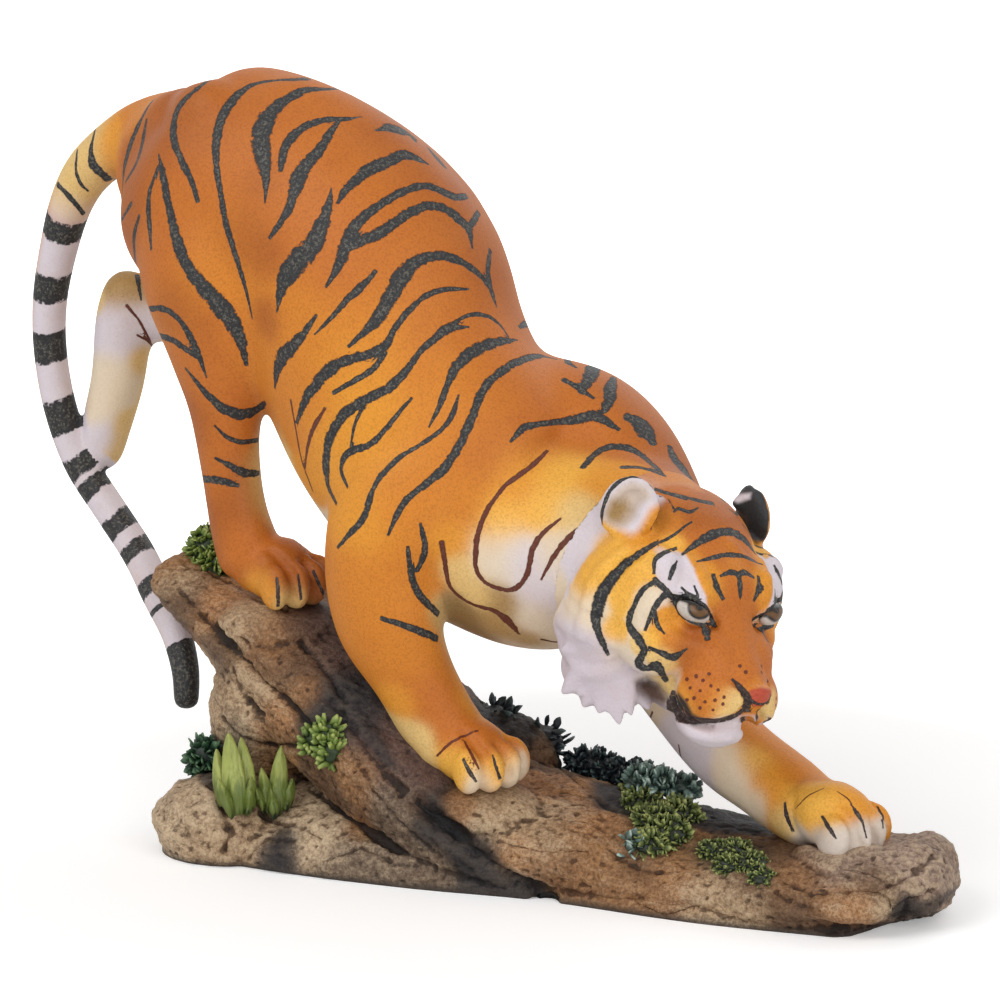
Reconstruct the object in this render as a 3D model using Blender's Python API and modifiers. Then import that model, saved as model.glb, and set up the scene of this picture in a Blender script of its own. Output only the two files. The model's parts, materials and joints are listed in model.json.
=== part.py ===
"""A tiger stepping down a rock, cast in one piece of painted resin.

All shapes are written in millimetres and brought to metres by MM.
X runs along the rock from the raised end to the low end, Y runs away from
the tiger's right side, Z is up, and the flat underside lies on Z = 0.
"""
import math

import bmesh
import bpy
import numpy as np
from mathutils import Euler, Matrix, Vector, noise

for thing in list(bpy.data.objects):
    bpy.data.objects.remove(thing, do_unlink=True)

MM = 0.001

# Where the tiger faces, in degrees about Z, and the matching side direction
HEADING = -12.0
SIDE = Vector((-math.sin(math.radians(HEADING)), math.cos(math.radians(HEADING)), 0.0))

# Soles of the three paws that stand on the rock
HIND_PAW = Vector((-100.0, -14.0, 76.0))
FRONT_PAW = Vector((-27.0, -29.0, 31.0))
REACHING_PAW = Vector((81.0, -12.0, 20.5))
PAW_HEIGHT = 18.5
PAW_LENGTH = 33.0
PAW_WIDTH = 25.0
SINK = 1.5

# The head: its middle, its turn and its size
HEAD_AT = Vector((38.4, -28.0, 90.2))
HEAD_YAW = -28.6
HEAD_PITCH = 19.6
HEAD_ROLL = -10.7
HEAD_SIZE = 1.04

# The tail
TAIL_ROOT_RADIUS = 10.5
TAIL_RADIUS = 5.4
TAIL_TIP_RADIUS = 4.0

# The rock
ROCK_LEFT = -130.0
ROCK_RIGHT = 117.0
ROCK_ROUGHNESS = 2.2
UNDERSIDE = 0.0

# Fineness of the surfaces
TIGER_VOXEL = 1.1
ROCK_VOXEL = 1.5
TIGER_FACES = 7600
ROCK_FACES = 3700

# Trunk sections: middle, half of the width across, half of the depth
TRUNK = (
    (-151, 14, 206, 21, 23),
    (-138, 12, 199, 34, 38),
    (-107, 8, 189, 37, 43.5),
    (-80, 4, 173, 40, 44.5),
    (-68, 0, 151, 40, 42.5),
    (-56, -3, 132, 38, 43),
    (-37, -6, 115, 36, 42),
    (-14, -9, 102, 31, 35),
    (8, -13, 103, 28, 28),
    (25, -18, 102, 26, 27),
)

# The crest of the neck, from between the shoulders to the back of the skull
CREST = (
    (-27, 5, 137, 20, 17.5),
    (-9, 8, 134, 20, 17.5),
    (5, 6, 126, 19, 16.5),
    (17, 1, 114, 17, 15),
    (28, -8, 104, 14, 13),
)

# Leg sections: middle, half of the width across, half of the width front to back
RIGHT_THIGH = (
    (-130, -4, 196, 16, 26),
    (-124, -12, 180, 18, 26),
    (-119, -17, 163, 16, 23),
    (-118, -17, 149, 13, 17.5),
    (-117, -16, 136, 11, 13.2),
    (-117, -15, 124, 9.6, 10.8),
    (-116, -14, 111, 9.0, 10.0),
    (-114, -14, 99, 9.0, 10.0),
    (-110, -14, 88, 9.5, 10.5),
)
RIGHT_ARM = (
    (-32, -16, 146, 10, 18),
    (-39, -25, 132, 14, 23),
    (-48, -32, 115, 16, 23),
    (-54, -35, 97, 15, 19),
    (-52, -35, 78, 13.5, 18),
    (-46, -32, 63, 12, 13.8),
    (-40, -29, 50, 11, 12.5),
    (-34, -28, 42, 11, 11.5),
)
LEFT_ARM = (
    (-8, 14, 138, 10, 17),
    (-12, 20, 122, 14, 23),
    (-8, 23, 98, 14, 20),
    (4, 19, 75, 13, 16),
    (20, 13, 57, 12, 14),
    (41, 4, 41, 12, 13.5),
    (57, -2, 34.5, 11.5, 12.5),
    (67, -6, 30.5, 11, 12),
    (74, -9, 28, 11, 11),
)
LEFT_THIGH = (
    (-133, 26, 198, 18, 25),
    (-136, 34, 181, 18, 25),
    (-139, 39, 166, 15, 21),
    (-140, 42, 156, 12, 15),
)
LEFT_SHANK = (
    (-134, 42, 156, 10, 13),
    (-150, 39, 150, 9, 12),
    (-166, 36, 152, 8, 11),
    (-176, 34, 155, 8, 9),
)
LEFT_FOOT = (
    (-179, 33, 159, 8.5, 9),
    (-181, 32, 148, 9, 10),
    (-182, 31, 132, 8.7, 9.6),
    (-185, 30, 118, 8.6, 8.4),
    (-187, 30, 109, 8, 7),
)

# Tail centre line
TAIL = (
    (-138, 12, 211),
    (-153, 14, 215),
    (-167, 15, 210),
    (-183, 18, 199),
    (-192, 20, 187),
    (-199, 23, 171),
    (-203, 24, 155),
    (-204, 25, 139),
    (-201, 25, 121),
    (-194, 25, 103),
    (-182, 22, 90),
    (-168, 17, 77),
    (-156, 9, 66),
    (-147, 4, 56),
    (-141, -1, 46),
    (-139, -4, 37),
)


def curve_rows(rows, steps):
    """Rows of numbers along a smooth curve through the given rows."""
    rows = np.array(rows, float)
    first = 2 * rows[0] - rows[1]
    last = 2 * rows[-1] - rows[-2]
    padded = np.vstack((first, rows, last))
    out = []
    for i in range(len(rows) - 1):
        p0, p1, p2, p3 = padded[i:i + 4]
        for k in range(steps):
            t = k / steps
            out.append(0.5 * (2 * p1 + (p2 - p0) * t + (2 * p0 - 5 * p1 + 4 * p2 - p3) * t * t
                              + (3 * p1 - p0 - 3 * p2 + p3) * t ** 3))
    out.append(rows[-1])
    return np.array(out)


def add_loft(bm, rows, across=SIDE, steps=4, around=24, dome=0.75):
    """A closed skin through oval sections, with a rounded cap at each end."""
    rows = curve_rows(rows, steps)
    middles = [Vector(row[:3]) for row in rows]
    rings = []
    count = len(rows)
    frames = []
    for i in range(count):
        along = (middles[min(i + 1, count - 1)] - middles[max(i - 1, 0)]).normalized()
        side = (across - along * across.dot(along)).normalized()
        frames.append((along, side, along.cross(side)))

    def ring(middle, frame, width, depth):
        loop = []
        for k in range(around):
            a = 2 * math.pi * k / around
            point = middle + frame[1] * (width * math.cos(a)) + frame[2] * (depth * math.sin(a))
            loop.append(bm.verts.new(point * MM))
        return loop

    for end, sign in ((0, -1), (count - 1, 1)):
        reach = dome * min(rows[end][3], rows[end][4])
        caps = []
        for degrees in (75, 52, 27):
            a = math.radians(degrees)
            middle = middles[end] + frames[end][0] * (sign * reach * math.sin(a))
            caps.append((middle, frames[end], rows[end][3] * math.cos(a), rows[end][4] * math.cos(a)))
        if sign < 0:
            start_pole = middles[0] - frames[0][0] * reach
            start_caps = caps
        else:
            end_pole = middles[-1] + frames[-1][0] * reach
            end_caps = caps[::-1]
    sections = list(start_caps)
    sections += [(middles[i], frames[i], rows[i][3], rows[i][4]) for i in range(count)]
    sections += list(end_caps)
    for middle, frame, width, depth in sections:
        rings.append(ring(middle, frame, width, depth))
    for a, b in zip(rings, rings[1:]):
        for k in range(around):
            n = (k + 1) % around
            bm.faces.new((a[k], a[n], b[n], b[k]))
    first = bm.verts.new(start_pole * MM)
    last = bm.verts.new(end_pole * MM)
    for k in range(around):
        n = (k + 1) % around
        bm.faces.new((first, rings[0][n], rings[0][k]))
        bm.faces.new((last, rings[-1][k], rings[-1][n]))


def add_egg(bm, place, middle, half, turn=(0.0, 0.0, 0.0), segments=24):
    """An ellipsoid given by its middle and half sizes, turned in degrees, in the frame of place."""
    angles = Euler([math.radians(a) for a in turn], "XYZ")
    shape = Matrix.LocRotScale(Vector(middle) * MM, angles, Vector(half) * MM)
    bmesh.ops.create_uvsphere(bm, u_segments=segments, v_segments=segments // 2 + 2, radius=1.0,
                              matrix=place @ shape)


def add_paw(bm, sole, heading, tilt=0.0):
    """A paw that stands on sole: a pad, a broad toe row of four toes and the rise to the wrist."""
    turn = Euler((0.0, math.radians(tilt), math.radians(heading)), "XYZ")
    place = Matrix.LocRotScale(sole * MM, turn, None)
    half_height = PAW_HEIGHT / 2
    add_egg(bm, place, (0, 0, half_height - SINK + 1), (PAW_LENGTH * 0.36, PAW_WIDTH * 0.45, half_height * 1.08))
    add_egg(bm, place, (-PAW_LENGTH * 0.22, 0, half_height), (PAW_LENGTH * 0.25, PAW_WIDTH * 0.42, half_height))
    for spread, reach in ((-0.36, 0.22), (-0.13, 0.31), (0.13, 0.31), (0.36, 0.22)):
        toe = (PAW_LENGTH * reach, PAW_WIDTH * spread, half_height * 0.80 - SINK)
        add_egg(bm, place, toe, (PAW_LENGTH * 0.20, PAW_WIDTH * 0.155, half_height * 0.80), (0, 0, spread * 40))


def head_place():
    """The frame of the head: X to the nose, Y to the left ear, Z to the crown."""
    turn = Euler([math.radians(a) for a in (HEAD_ROLL, HEAD_PITCH, HEAD_YAW)], "XYZ")
    return Matrix.LocRotScale(HEAD_AT * MM, turn, Vector((HEAD_SIZE, HEAD_SIZE, HEAD_SIZE)))


def add_ear(bm, place, side):
    """A round, thin ear that leans back and opens forwards and outwards."""
    turn = Vector((0.42, 0.86 * side, 0.25)).to_track_quat("Z", "X").to_matrix().to_4x4()
    shape = Matrix.Translation(Vector((-9.2, 23.4 * side, 26.4)) * MM) @ turn @ Matrix.Diagonal(
        (0.0094, 0.0090, 0.0032, 1.0))
    bmesh.ops.create_uvsphere(bm, u_segments=24, v_segments=14, radius=1.0, matrix=place @ shape)


def add_head(bm):
    """Skull, muzzle, cheeks, ruff and ears."""
    place = head_place()
    across = (place.to_3x3() @ Vector((0, 1, 0))).normalized()
    add_egg(bm, place, (-7, 0, 9), (24, 23, 23.5))
    add_egg(bm, place, (4, 0, 8), (19, 23.5, 17.5))
    add_egg(bm, place, (41.6, 0, -4.4), (3.8, 5.8, 3.8))
    add_egg(bm, place, (28.5, 0, -20.5), (9.5, 9.0, 5.0), (0, -4, 0))
    add_egg(bm, place, (10, 0, -14), (20, 14, 11))

    def placed(rows):
        return [tuple(place @ (Vector(row[:3]) * MM) / MM) + tuple(row[3:]) for row in rows]

    add_loft(bm, placed(((14, 0, 7, 12, 10), (25, 0, 0, 8.8, 8), (34, 0, -4.2, 7.4, 6.8), (39, 0, -6, 6, 5.4))),
             across=across)
    for side in (-1, 1):
        add_egg(bm, place, (31.5, 7.2 * side, -9.6), (11, 8.4, 8.2), (0, 6, -6 * side))
        add_egg(bm, place, (24, 6.5 * side, -1), (12, 8, 8), (0, 24, -8 * side))
        add_egg(bm, place, (12.5, 11 * side, 14.0), (9.5, 8.0, 6.0), (0, 22, 14 * side))
        add_egg(bm, place, (19.4, 12.6 * side, 9.0), (4.2, 4.2, 4.0))
        add_egg(bm, place, (11, 16 * side, -3), (13, 9, 11), (0, 0, -14 * side))
        add_egg(bm, place, (5, 19 * side, 6), (13, 8, 16), (0, 0, -4 * side))
        add_loft(bm, placed((
            (-3, 19 * side, 16, 7, 9), (-5, 21.5 * side, 4, 8, 12), (-6, 21 * side, -10, 9, 14),
            (-1, 18.5 * side, -19.5, 8.5, 12), (7, 13 * side, -23, 7, 9),
        )), across=across)
        add_ear(bm, place, side)


def build_tiger():
    bm = bmesh.new()
    add_loft(bm, TRUNK, around=32)
    add_loft(bm, CREST)
    for rows in (RIGHT_THIGH, RIGHT_ARM, LEFT_ARM, LEFT_THIGH, LEFT_SHANK, LEFT_FOOT):
        add_loft(bm, rows)
    add_paw(bm, HIND_PAW, HEADING - 6)
    add_paw(bm, FRONT_PAW, HEADING - 8)
    add_paw(bm, REACHING_PAW, HEADING - 4, 6)
    here = Matrix.Identity(4)
    add_egg(bm, here, (-188, 30, 107), (8, 8, 7))
    count = len(TAIL)
    rows = []
    for i, point in enumerate(TAIL):
        near = max(0.0, 1.0 - max(0, i - 1) / 6.0) ** 1.8
        far = max(0.0, (i - count + 4) / 3.0)
        radius = TAIL_RADIUS + (TAIL_ROOT_RADIUS - TAIL_RADIUS) * near + (TAIL_TIP_RADIUS - TAIL_RADIUS) * far
        rows.append(point + (radius, radius))
    add_loft(bm, rows, around=20)
    add_head(bm)
    return bm


# Plant clumps on the rock: middle and half sizes
CLUMPS = (
    (-139, 8, 87, 8, 8, 7),
    (-107, -34, 27, 8, 7, 12),
    (-93, -36, 26, 7, 7, 12),
    (-119, -28, 26, 6, 6, 7),
    (-79, -33, 39, 7, 6, 6),
    (-38, 9, 38, 8, 6, 6),
    (-24, 12, 33, 8, 6, 6),
    (-8, 14, 27, 8, 6, 5),
    (4, 15, 25, 9, 6, 5),
    (26, -12, 23, 10, 9, 10),
    (54, -24, 17, 11, 8, 6),
    (34, 12, 20, 10, 7, 6),
)


def build_rock():
    bm = bmesh.new()
    here = Matrix.Identity(4)
    deep = Vector((0, 1, 0))
    add_loft(bm, (
        (HIND_PAW.x - 40, 3, HIND_PAW.z - 1, 20, 9),
        (HIND_PAW.x - 14, -1, HIND_PAW.z - 14, 26, 15),
        (HIND_PAW.x + 10, -5, HIND_PAW.z - 25, 31, 22),
        (-60, -9, 33, 36, 23),
        (FRONT_PAW.x, -10, FRONT_PAW.z - 17, 37, 18),
        (14, -8, 9, 32, 15),
        (50, -8, 7, 30, 13),
        (REACHING_PAW.x, -9, REACHING_PAW.z - 13, 31, 13),
        (ROCK_RIGHT - 9, -4, 13, 22, 11.2),
    ), across=deep, around=32)
    add_loft(bm, (
        (ROCK_LEFT + 22, -13, 4, 35, 14),
        (-80, -13, 4, 36, 16),
        (-40, -11, 2, 35, 16),
        (0, -9, 0, 31, 14),
        (50, -9, -2, 32, 12),
        (92, -9, -2, 27, 11),
    ), across=deep, around=32)
    add_egg(bm, here, (ROCK_LEFT + 21, -36, 8), (22, 18, 16))
    add_egg(bm, here, (HIND_PAW.x - 1, -8, HIND_PAW.z - 32), (22.5, 25, 32), (0, 14, 0))
    add_egg(bm, here, (-36, 8, 29), (20, 13, 14), (0, 10, 0))
    for sole in (FRONT_PAW, REACHING_PAW, HIND_PAW):
        add_egg(bm, here, (sole.x, sole.y, sole.z - 9), (PAW_LENGTH * 0.68, PAW_WIDTH * 0.68, 9))
    return bm


def add_clumps(bm):
    """Each clump is a knot of small leaves around a low mound."""
    here = Matrix.Identity(4)
    for x, y, z, wide, deep, high in CLUMPS:
        add_egg(bm, here, (x, y, z - high * 0.4), (wide * 0.8, deep * 0.8, high * 0.8), segments=16)
        for k in range(9):
            a = 2.4 * k
            reach = math.sqrt((k + 0.5) / 9)
            spot = (x + wide * 0.75 * reach * math.cos(a), y + deep * 0.75 * reach * math.sin(a),
                    z + high * (0.35 - 0.55 * reach * reach))
            tip = math.degrees(0.7 * reach)
            add_egg(bm, here, spot, (2.0, 2.0, high * 0.55), (-tip * math.sin(a), tip * math.cos(a), 0), 10)


def remeshed(name, bm, voxel):
    """The union of the closed skins in bm as one mesh of even faces."""
    bmesh.ops.recalc_face_normals(bm, faces=bm.faces)
    raw = bpy.data.meshes.new(name + "_skins")
    bm.to_mesh(raw)
    bm.free()
    maker = bpy.data.objects.new(name + "_skins", raw)
    bpy.context.scene.collection.objects.link(maker)
    remesh = maker.modifiers.new("one skin", "REMESH")
    remesh.mode = "VOXEL"
    remesh.voxel_size = voxel * MM
    depsgraph = bpy.context.evaluated_depsgraph_get()
    mesh = bpy.data.meshes.new_from_object(maker.evaluated_get(depsgraph))
    mesh.name = name
    bpy.data.objects.remove(maker, do_unlink=True)
    keep_main_body(mesh)
    return mesh


def keep_main_body(mesh):
    """Drops crumbs that an overlap of skins leaves beside the main body or inside it."""
    bm = bmesh.new()
    bm.from_mesh(mesh)
    left = set(bm.verts)
    bodies = []
    while left:
        body = {left.pop()}
        edge_of = list(body)
        while edge_of:
            for edge in edge_of.pop().link_edges:
                for vert in edge.verts:
                    if vert in left:
                        left.remove(vert)
                        body.add(vert)
                        edge_of.append(vert)
        bodies.append(body)
    bodies.sort(key=len)
    crumbs = [vert for body in bodies[:-1] for vert in body]
    bmesh.ops.delete(bm, geom=crumbs, context="VERTS")
    bm.to_mesh(mesh)
    bm.free()


def roughen(mesh, height):
    """Layered, pitted stone: moves each point along its normal by stretched noise."""
    mesh.calc_loop_triangles()
    count = len(mesh.vertices)
    points = np.empty(count * 3)
    mesh.vertices.foreach_get("co", points)
    normals = np.empty(count * 3)
    mesh.vertices.foreach_get("normal", normals)
    points = points.reshape(-1, 3)
    normals = normals.reshape(-1, 3)
    for i in range(count):
        p = points[i] / MM
        q = Vector((p[0] * 0.022 + p[2] * 0.03, p[1] * 0.06, p[2] * 0.085 + p[0] * 0.035))
        lift = noise.ridged_multi_fractal(q, 0.9, 2.1, 4, 1.0, 2.0) - 1.1
        points[i] += normals[i] * (height * MM * lift)
    mesh.vertices.foreach_set("co", points.ravel())
    mesh.update()


def vertex_arrays(mesh):
    count = len(mesh.vertices)
    points = np.empty(count * 3)
    mesh.vertices.foreach_get("co", points)
    normals = np.empty(count * 3)
    mesh.vertices.foreach_get("normal", normals)
    return points.reshape(-1, 3) / MM, normals.reshape(-1, 3)


def distance_to_path(points, path):
    """Distance of each point to a chain of straight runs."""
    best = np.full(len(points), 1e9)
    path = np.array(path, float)
    for a, b in zip(path, path[1:]):
        run = b - a
        t = np.clip(((points - a) @ run) / (run @ run), 0, 1)
        best = np.minimum(best, np.linalg.norm(points - (a + t[:, None] * run), axis=1))
    return best


def press(mesh, path, radius, depth):
    """A groove of the given depth along a path; a negative depth raises a ridge."""
    points, normals = vertex_arrays(mesh)
    near = np.clip(1 - (distance_to_path(points, path) / radius) ** 2, 0, 1) ** 2
    points -= normals * (depth * near)[:, None]
    mesh.vertices.foreach_set("co", (points * MM).ravel())
    mesh.update()


def relax(thing, rounds, factor=0.5, group=""):
    smooth = thing.modifiers.new("relax", "SMOOTH")
    smooth.factor = factor
    smooth.iterations = rounds
    smooth.vertex_group = group


def mark_broad_forms(thing):
    """A vertex group of the trunk and upper legs, where the skin is smooth and broad."""
    points, _ = vertex_arrays(thing.data)
    weight = np.ones(len(points))
    keep_out = [(np.array(HEAD_AT), 36.0), (np.array(HIND_PAW), 24.0), (np.array(FRONT_PAW), 26.0),
                (np.array(REACHING_PAW), 26.0)]
    for middle, radius in keep_out:
        weight = np.minimum(weight, np.clip((np.linalg.norm(points - middle, axis=1) - radius) / 10, 0, 1))
    weight = np.minimum(weight, np.clip((distance_to_path(points, TAIL[2:]) - 8) / 6, 0, 1))
    group = thing.vertex_groups.new(name="broad")
    for level in range(1, 11):
        chosen = np.nonzero(np.round(weight * 10) == level)[0]
        group.add(chosen.tolist(), level / 10, "REPLACE")


def thin_out(thing, faces):
    """Fewer faces, down to the given number of triangles."""
    bpy.context.view_layer.update()
    depsgraph = bpy.context.evaluated_depsgraph_get()
    full = thing.evaluated_get(depsgraph).to_mesh()
    full.calc_loop_triangles()
    have = len(full.loop_triangles)
    thing.evaluated_get(depsgraph).to_mesh_clear()
    decimate = thing.modifiers.new("fewer faces", "DECIMATE")
    decimate.ratio = min(1.0, faces / have)
    decimate.use_collapse_triangulate = True


def paint(name, colour, roughness):
    material = bpy.data.materials.new(name)
    material.use_nodes = True
    shader = material.node_tree.nodes["Principled BSDF"]
    shader.inputs["Base Color"].default_value = colour
    shader.inputs["Roughness"].default_value = roughness
    return material


def detail_tiger(mesh):
    """Mouth, eyes, ears, toes and the folds behind the haunch and the shoulder."""
    place = head_place()

    def on_head(*rows):
        return [tuple(place @ (Vector(row) * MM) / MM) for row in rows]

    for side in (-1, 1):
        press(mesh, on_head((20, 14 * side, -15), (29, 12.5 * side, -17.5), (36, 7 * side, -17.5),
                            (40, 1.5 * side, -14)), 3.2, 2.2)
        press(mesh, on_head((-7.5, 26.6 * side, 24.5), (-8, 26.8 * side, 29)), 7.0, 3.2)
        press(mesh, on_head((21, 7 * side, 6.5), (30, 7.2 * side, 1)), 3.5, 0.9)
    press(mesh, on_head((42.5, 0, -8), (41, 0, -15)), 2.6, 1.4)
    for sole, turn in ((HIND_PAW, -6), (FRONT_PAW, -8), (REACHING_PAW, -4)):
        foot = Matrix.LocRotScale(sole, Euler((0, 0, math.radians(HEADING + turn))), None)
        for spread in (-0.25, 0.0, 0.25):
            path = [tuple(foot @ Vector((PAW_LENGTH * a, PAW_WIDTH * spread, PAW_HEIGHT * h)))
                    for a, h in ((0.10, 0.85), (0.34, 0.62), (0.50, 0.10))]
            press(mesh, path, 2.6, 1.6)


figurine = bpy.data.collections.new("tiger_figurine")
helpers = bpy.data.collections.new("cutters")
bpy.context.scene.collection.children.link(figurine)
bpy.context.scene.collection.children.link(helpers)

tiger_mesh = remeshed("tiger_on_rock", build_tiger(), TIGER_VOXEL)
tiger = bpy.data.objects.new("tiger_on_rock", tiger_mesh)
figurine.objects.link(tiger)
tiger_mesh.materials.append(paint("painted_resin", (0.62, 0.27, 0.06, 1.0), 0.45))
mark_broad_forms(tiger)
detail_tiger(tiger_mesh)
relax(tiger, 60, group="broad")
relax(tiger, 2)
thin_out(tiger, TIGER_FACES)

stone_mesh = remeshed("stone", build_rock(), ROCK_VOXEL)
roughen(stone_mesh, ROCK_ROUGHNESS)
planted = bmesh.new()
planted.from_mesh(stone_mesh)
add_clumps(planted)
rock_mesh = remeshed("rock", planted, ROCK_VOXEL * 0.8)
rock = bpy.data.objects.new("rock", rock_mesh)
helpers.objects.link(rock)
rock.hide_render = True
rock.display_type = "WIRE"
relax(rock, 2)
thin_out(rock, ROCK_FACES)

bm = bmesh.new()
bmesh.ops.create_cube(bm, size=1.0)
floor_mesh = bpy.data.meshes.new("floor_cut")
bm.to_mesh(floor_mesh)
bm.free()
floor_mesh.transform(Matrix.LocRotScale(Vector((0, 0, UNDERSIDE - 25)) * MM, None, Vector((500, 300, 50)) * MM))
floor_cut = bpy.data.objects.new("floor_cut", floor_mesh)
helpers.objects.link(floor_cut)
floor_cut.hide_render = True
floor_cut.display_type = "WIRE"

join = tiger.modifiers.new("stand on the rock", "BOOLEAN")
join.operation = "UNION"
join.object = rock
join.solver = "EXACT"
cut = tiger.modifiers.new("flat underside", "BOOLEAN")
cut.operation = "DIFFERENCE"
cut.object = floor_cut
cut.solver = "EXACT"
bpy.context.view_layer.update()
whole = bpy.data.meshes.new_from_object(tiger.evaluated_get(bpy.context.evaluated_depsgraph_get()))
whole.name = "tiger_on_rock"
tiger.modifiers.clear()
tiger.data = whole
keep_main_body(whole)
whole.shade_smooth()
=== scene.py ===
"""The tiger figurine: a painted resin tiger that steps down a rock with small plants.

Shapes are written in millimetres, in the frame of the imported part, and brought to metres by MM.
Painted marks are written in pixels of the photograph and laid on the surface that carries them.
"""
import json
import math

import bmesh
import bpy
import numpy as np
from mathutils import Euler, Matrix, Vector, noise
from mathutils.bvhtree import BVHTree

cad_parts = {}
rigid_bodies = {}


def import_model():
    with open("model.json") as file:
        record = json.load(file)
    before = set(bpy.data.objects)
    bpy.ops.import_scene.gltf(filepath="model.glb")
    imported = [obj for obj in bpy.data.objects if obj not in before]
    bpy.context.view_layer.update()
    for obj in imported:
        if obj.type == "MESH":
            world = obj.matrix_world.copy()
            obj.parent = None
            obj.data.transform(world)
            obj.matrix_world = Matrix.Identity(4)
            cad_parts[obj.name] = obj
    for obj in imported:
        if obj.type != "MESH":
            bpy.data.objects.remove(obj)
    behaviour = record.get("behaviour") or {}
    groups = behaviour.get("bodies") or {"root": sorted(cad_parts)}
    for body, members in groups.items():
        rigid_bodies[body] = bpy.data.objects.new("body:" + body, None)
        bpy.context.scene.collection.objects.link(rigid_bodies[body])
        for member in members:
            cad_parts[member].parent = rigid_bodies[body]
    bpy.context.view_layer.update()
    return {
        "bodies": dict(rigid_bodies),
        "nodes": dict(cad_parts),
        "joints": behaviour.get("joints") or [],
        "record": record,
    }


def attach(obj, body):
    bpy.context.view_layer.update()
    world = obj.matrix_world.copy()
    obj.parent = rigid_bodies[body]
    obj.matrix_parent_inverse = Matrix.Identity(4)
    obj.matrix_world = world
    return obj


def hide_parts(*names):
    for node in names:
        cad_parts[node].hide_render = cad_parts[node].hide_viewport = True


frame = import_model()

MM = 0.001

# The view of the photograph: turn, height, distance in mm, scale, and the pixel and the point at its middle
VIEW_TURN = math.radians(26)
VIEW_HEIGHT = math.radians(12)
VIEW_DISTANCE = 1400.0
PIXELS_PER_MM = 3.3333
MIDDLE_PIXEL = 500.0
VIEW_MIDDLE = np.array((-32.0, 0.0, 110.0))
VIEW_RIGHT = np.array((math.cos(VIEW_TURN), math.sin(VIEW_TURN), 0.0))
VIEW_BACK = np.array((math.sin(VIEW_TURN) * math.cos(VIEW_HEIGHT),
                      -math.cos(VIEW_TURN) * math.cos(VIEW_HEIGHT), math.sin(VIEW_HEIGHT)))
VIEW_UP = np.cross(VIEW_BACK, VIEW_RIGHT)
VIEW_EYE = VIEW_MIDDLE + VIEW_BACK * VIEW_DISTANCE

# Where the tiger faces, in degrees about Z, and the matching side direction
HEADING = -12.0
SIDE = Vector((-math.sin(math.radians(HEADING)), math.cos(math.radians(HEADING)), 0.0))

# Soles of the three paws that stand on the rock
HIND_PAW = Vector((-100.0, -14.0, 76.0))
FRONT_PAW = Vector((-27.0, -29.0, 31.0))
REACHING_PAW = Vector((81.0, -12.0, 20.5))
PAW_HEIGHT = 18.5
PAW_LENGTH = 33.0
PAW_WIDTH = 25.0
SINK = 1.5

# The head: its middle, its turn and its size
HEAD_AT = Vector((38.4, -28.0, 90.2))
HEAD_YAW = -28.6
HEAD_PITCH = 19.6
HEAD_ROLL = -10.7
HEAD_SIZE = 1.04

# The tail
TAIL_ROOT_RADIUS = 10.5
TAIL_RADIUS = 5.4
TAIL_TIP_RADIUS = 4.0

# The rock
ROCK_LEFT = -130.0
ROCK_RIGHT = 117.0

# Trunk sections: middle, half of the width across, half of the depth
TRUNK = (
    (-151, 14, 206, 21, 23),
    (-138, 12, 199, 34, 38),
    (-107, 8, 189, 37, 43.5),
    (-80, 4, 173, 40, 44.5),
    (-68, 0, 151, 40, 42.5),
    (-56, -3, 132, 38, 43),
    (-37, -6, 115, 36, 42),
    (-14, -9, 102, 31, 35),
    (8, -13, 103, 28, 28),
    (25, -18, 102, 26, 27),
)

# The crest of the neck, from between the shoulders to the back of the skull
CREST = (
    (-27, 5, 137, 20, 17.5),
    (-9, 8, 134, 20, 17.5),
    (5, 6, 126, 19, 16.5),
    (17, 1, 114, 17, 15),
    (28, -8, 104, 14, 13),
)

# Leg sections: middle, half of the width across, half of the width front to back
RIGHT_THIGH = (
    (-130, -4, 196, 16, 26),
    (-124, -12, 180, 18, 26),
    (-119, -17, 163, 16, 23),
    (-118, -17, 149, 13, 17.5),
    (-117, -16, 136, 11, 13.2),
    (-117, -15, 124, 9.6, 10.8),
    (-116, -14, 111, 9.0, 10.0),
    (-114, -14, 99, 9.0, 10.0),
    (-110, -14, 88, 9.5, 10.5),
)
RIGHT_ARM = (
    (-32, -16, 146, 10, 18),
    (-39, -25, 132, 14, 23),
    (-48, -32, 115, 16, 23),
    (-54, -35, 97, 15, 19),
    (-52, -35, 78, 13.5, 18),
    (-46, -32, 63, 12, 13.8),
    (-40, -29, 50, 11, 12.5),
    (-34, -28, 42, 11, 11.5),
)
LEFT_ARM = (
    (-8, 14, 138, 10, 17),
    (-12, 20, 122, 14, 23),
    (-8, 23, 98, 14, 20),
    (4, 19, 75, 13, 16),
    (20, 13, 57, 12, 14),
    (41, 4, 41, 12, 13.5),
    (57, -2, 34.5, 11.5, 12.5),
    (67, -6, 30.5, 11, 12),
    (74, -9, 28, 11, 11),
)
LEFT_THIGH = (
    (-133, 26, 198, 18, 25),
    (-136, 34, 181, 18, 25),
    (-139, 39, 166, 15, 21),
    (-140, 42, 156, 12, 15),
)
LEFT_SHANK = (
    (-134, 42, 156, 10, 13),
    (-150, 39, 150, 9, 12),
    (-166, 36, 152, 8, 11),
    (-176, 34, 155, 8, 9),
)
LEFT_FOOT = (
    (-179, 33, 159, 8.5, 9),
    (-181, 32, 148, 9, 10),
    (-182, 31, 132, 8.7, 9.6),
    (-185, 30, 118, 8.6, 8.4),
    (-187, 30, 109, 8, 7),
)

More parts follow.
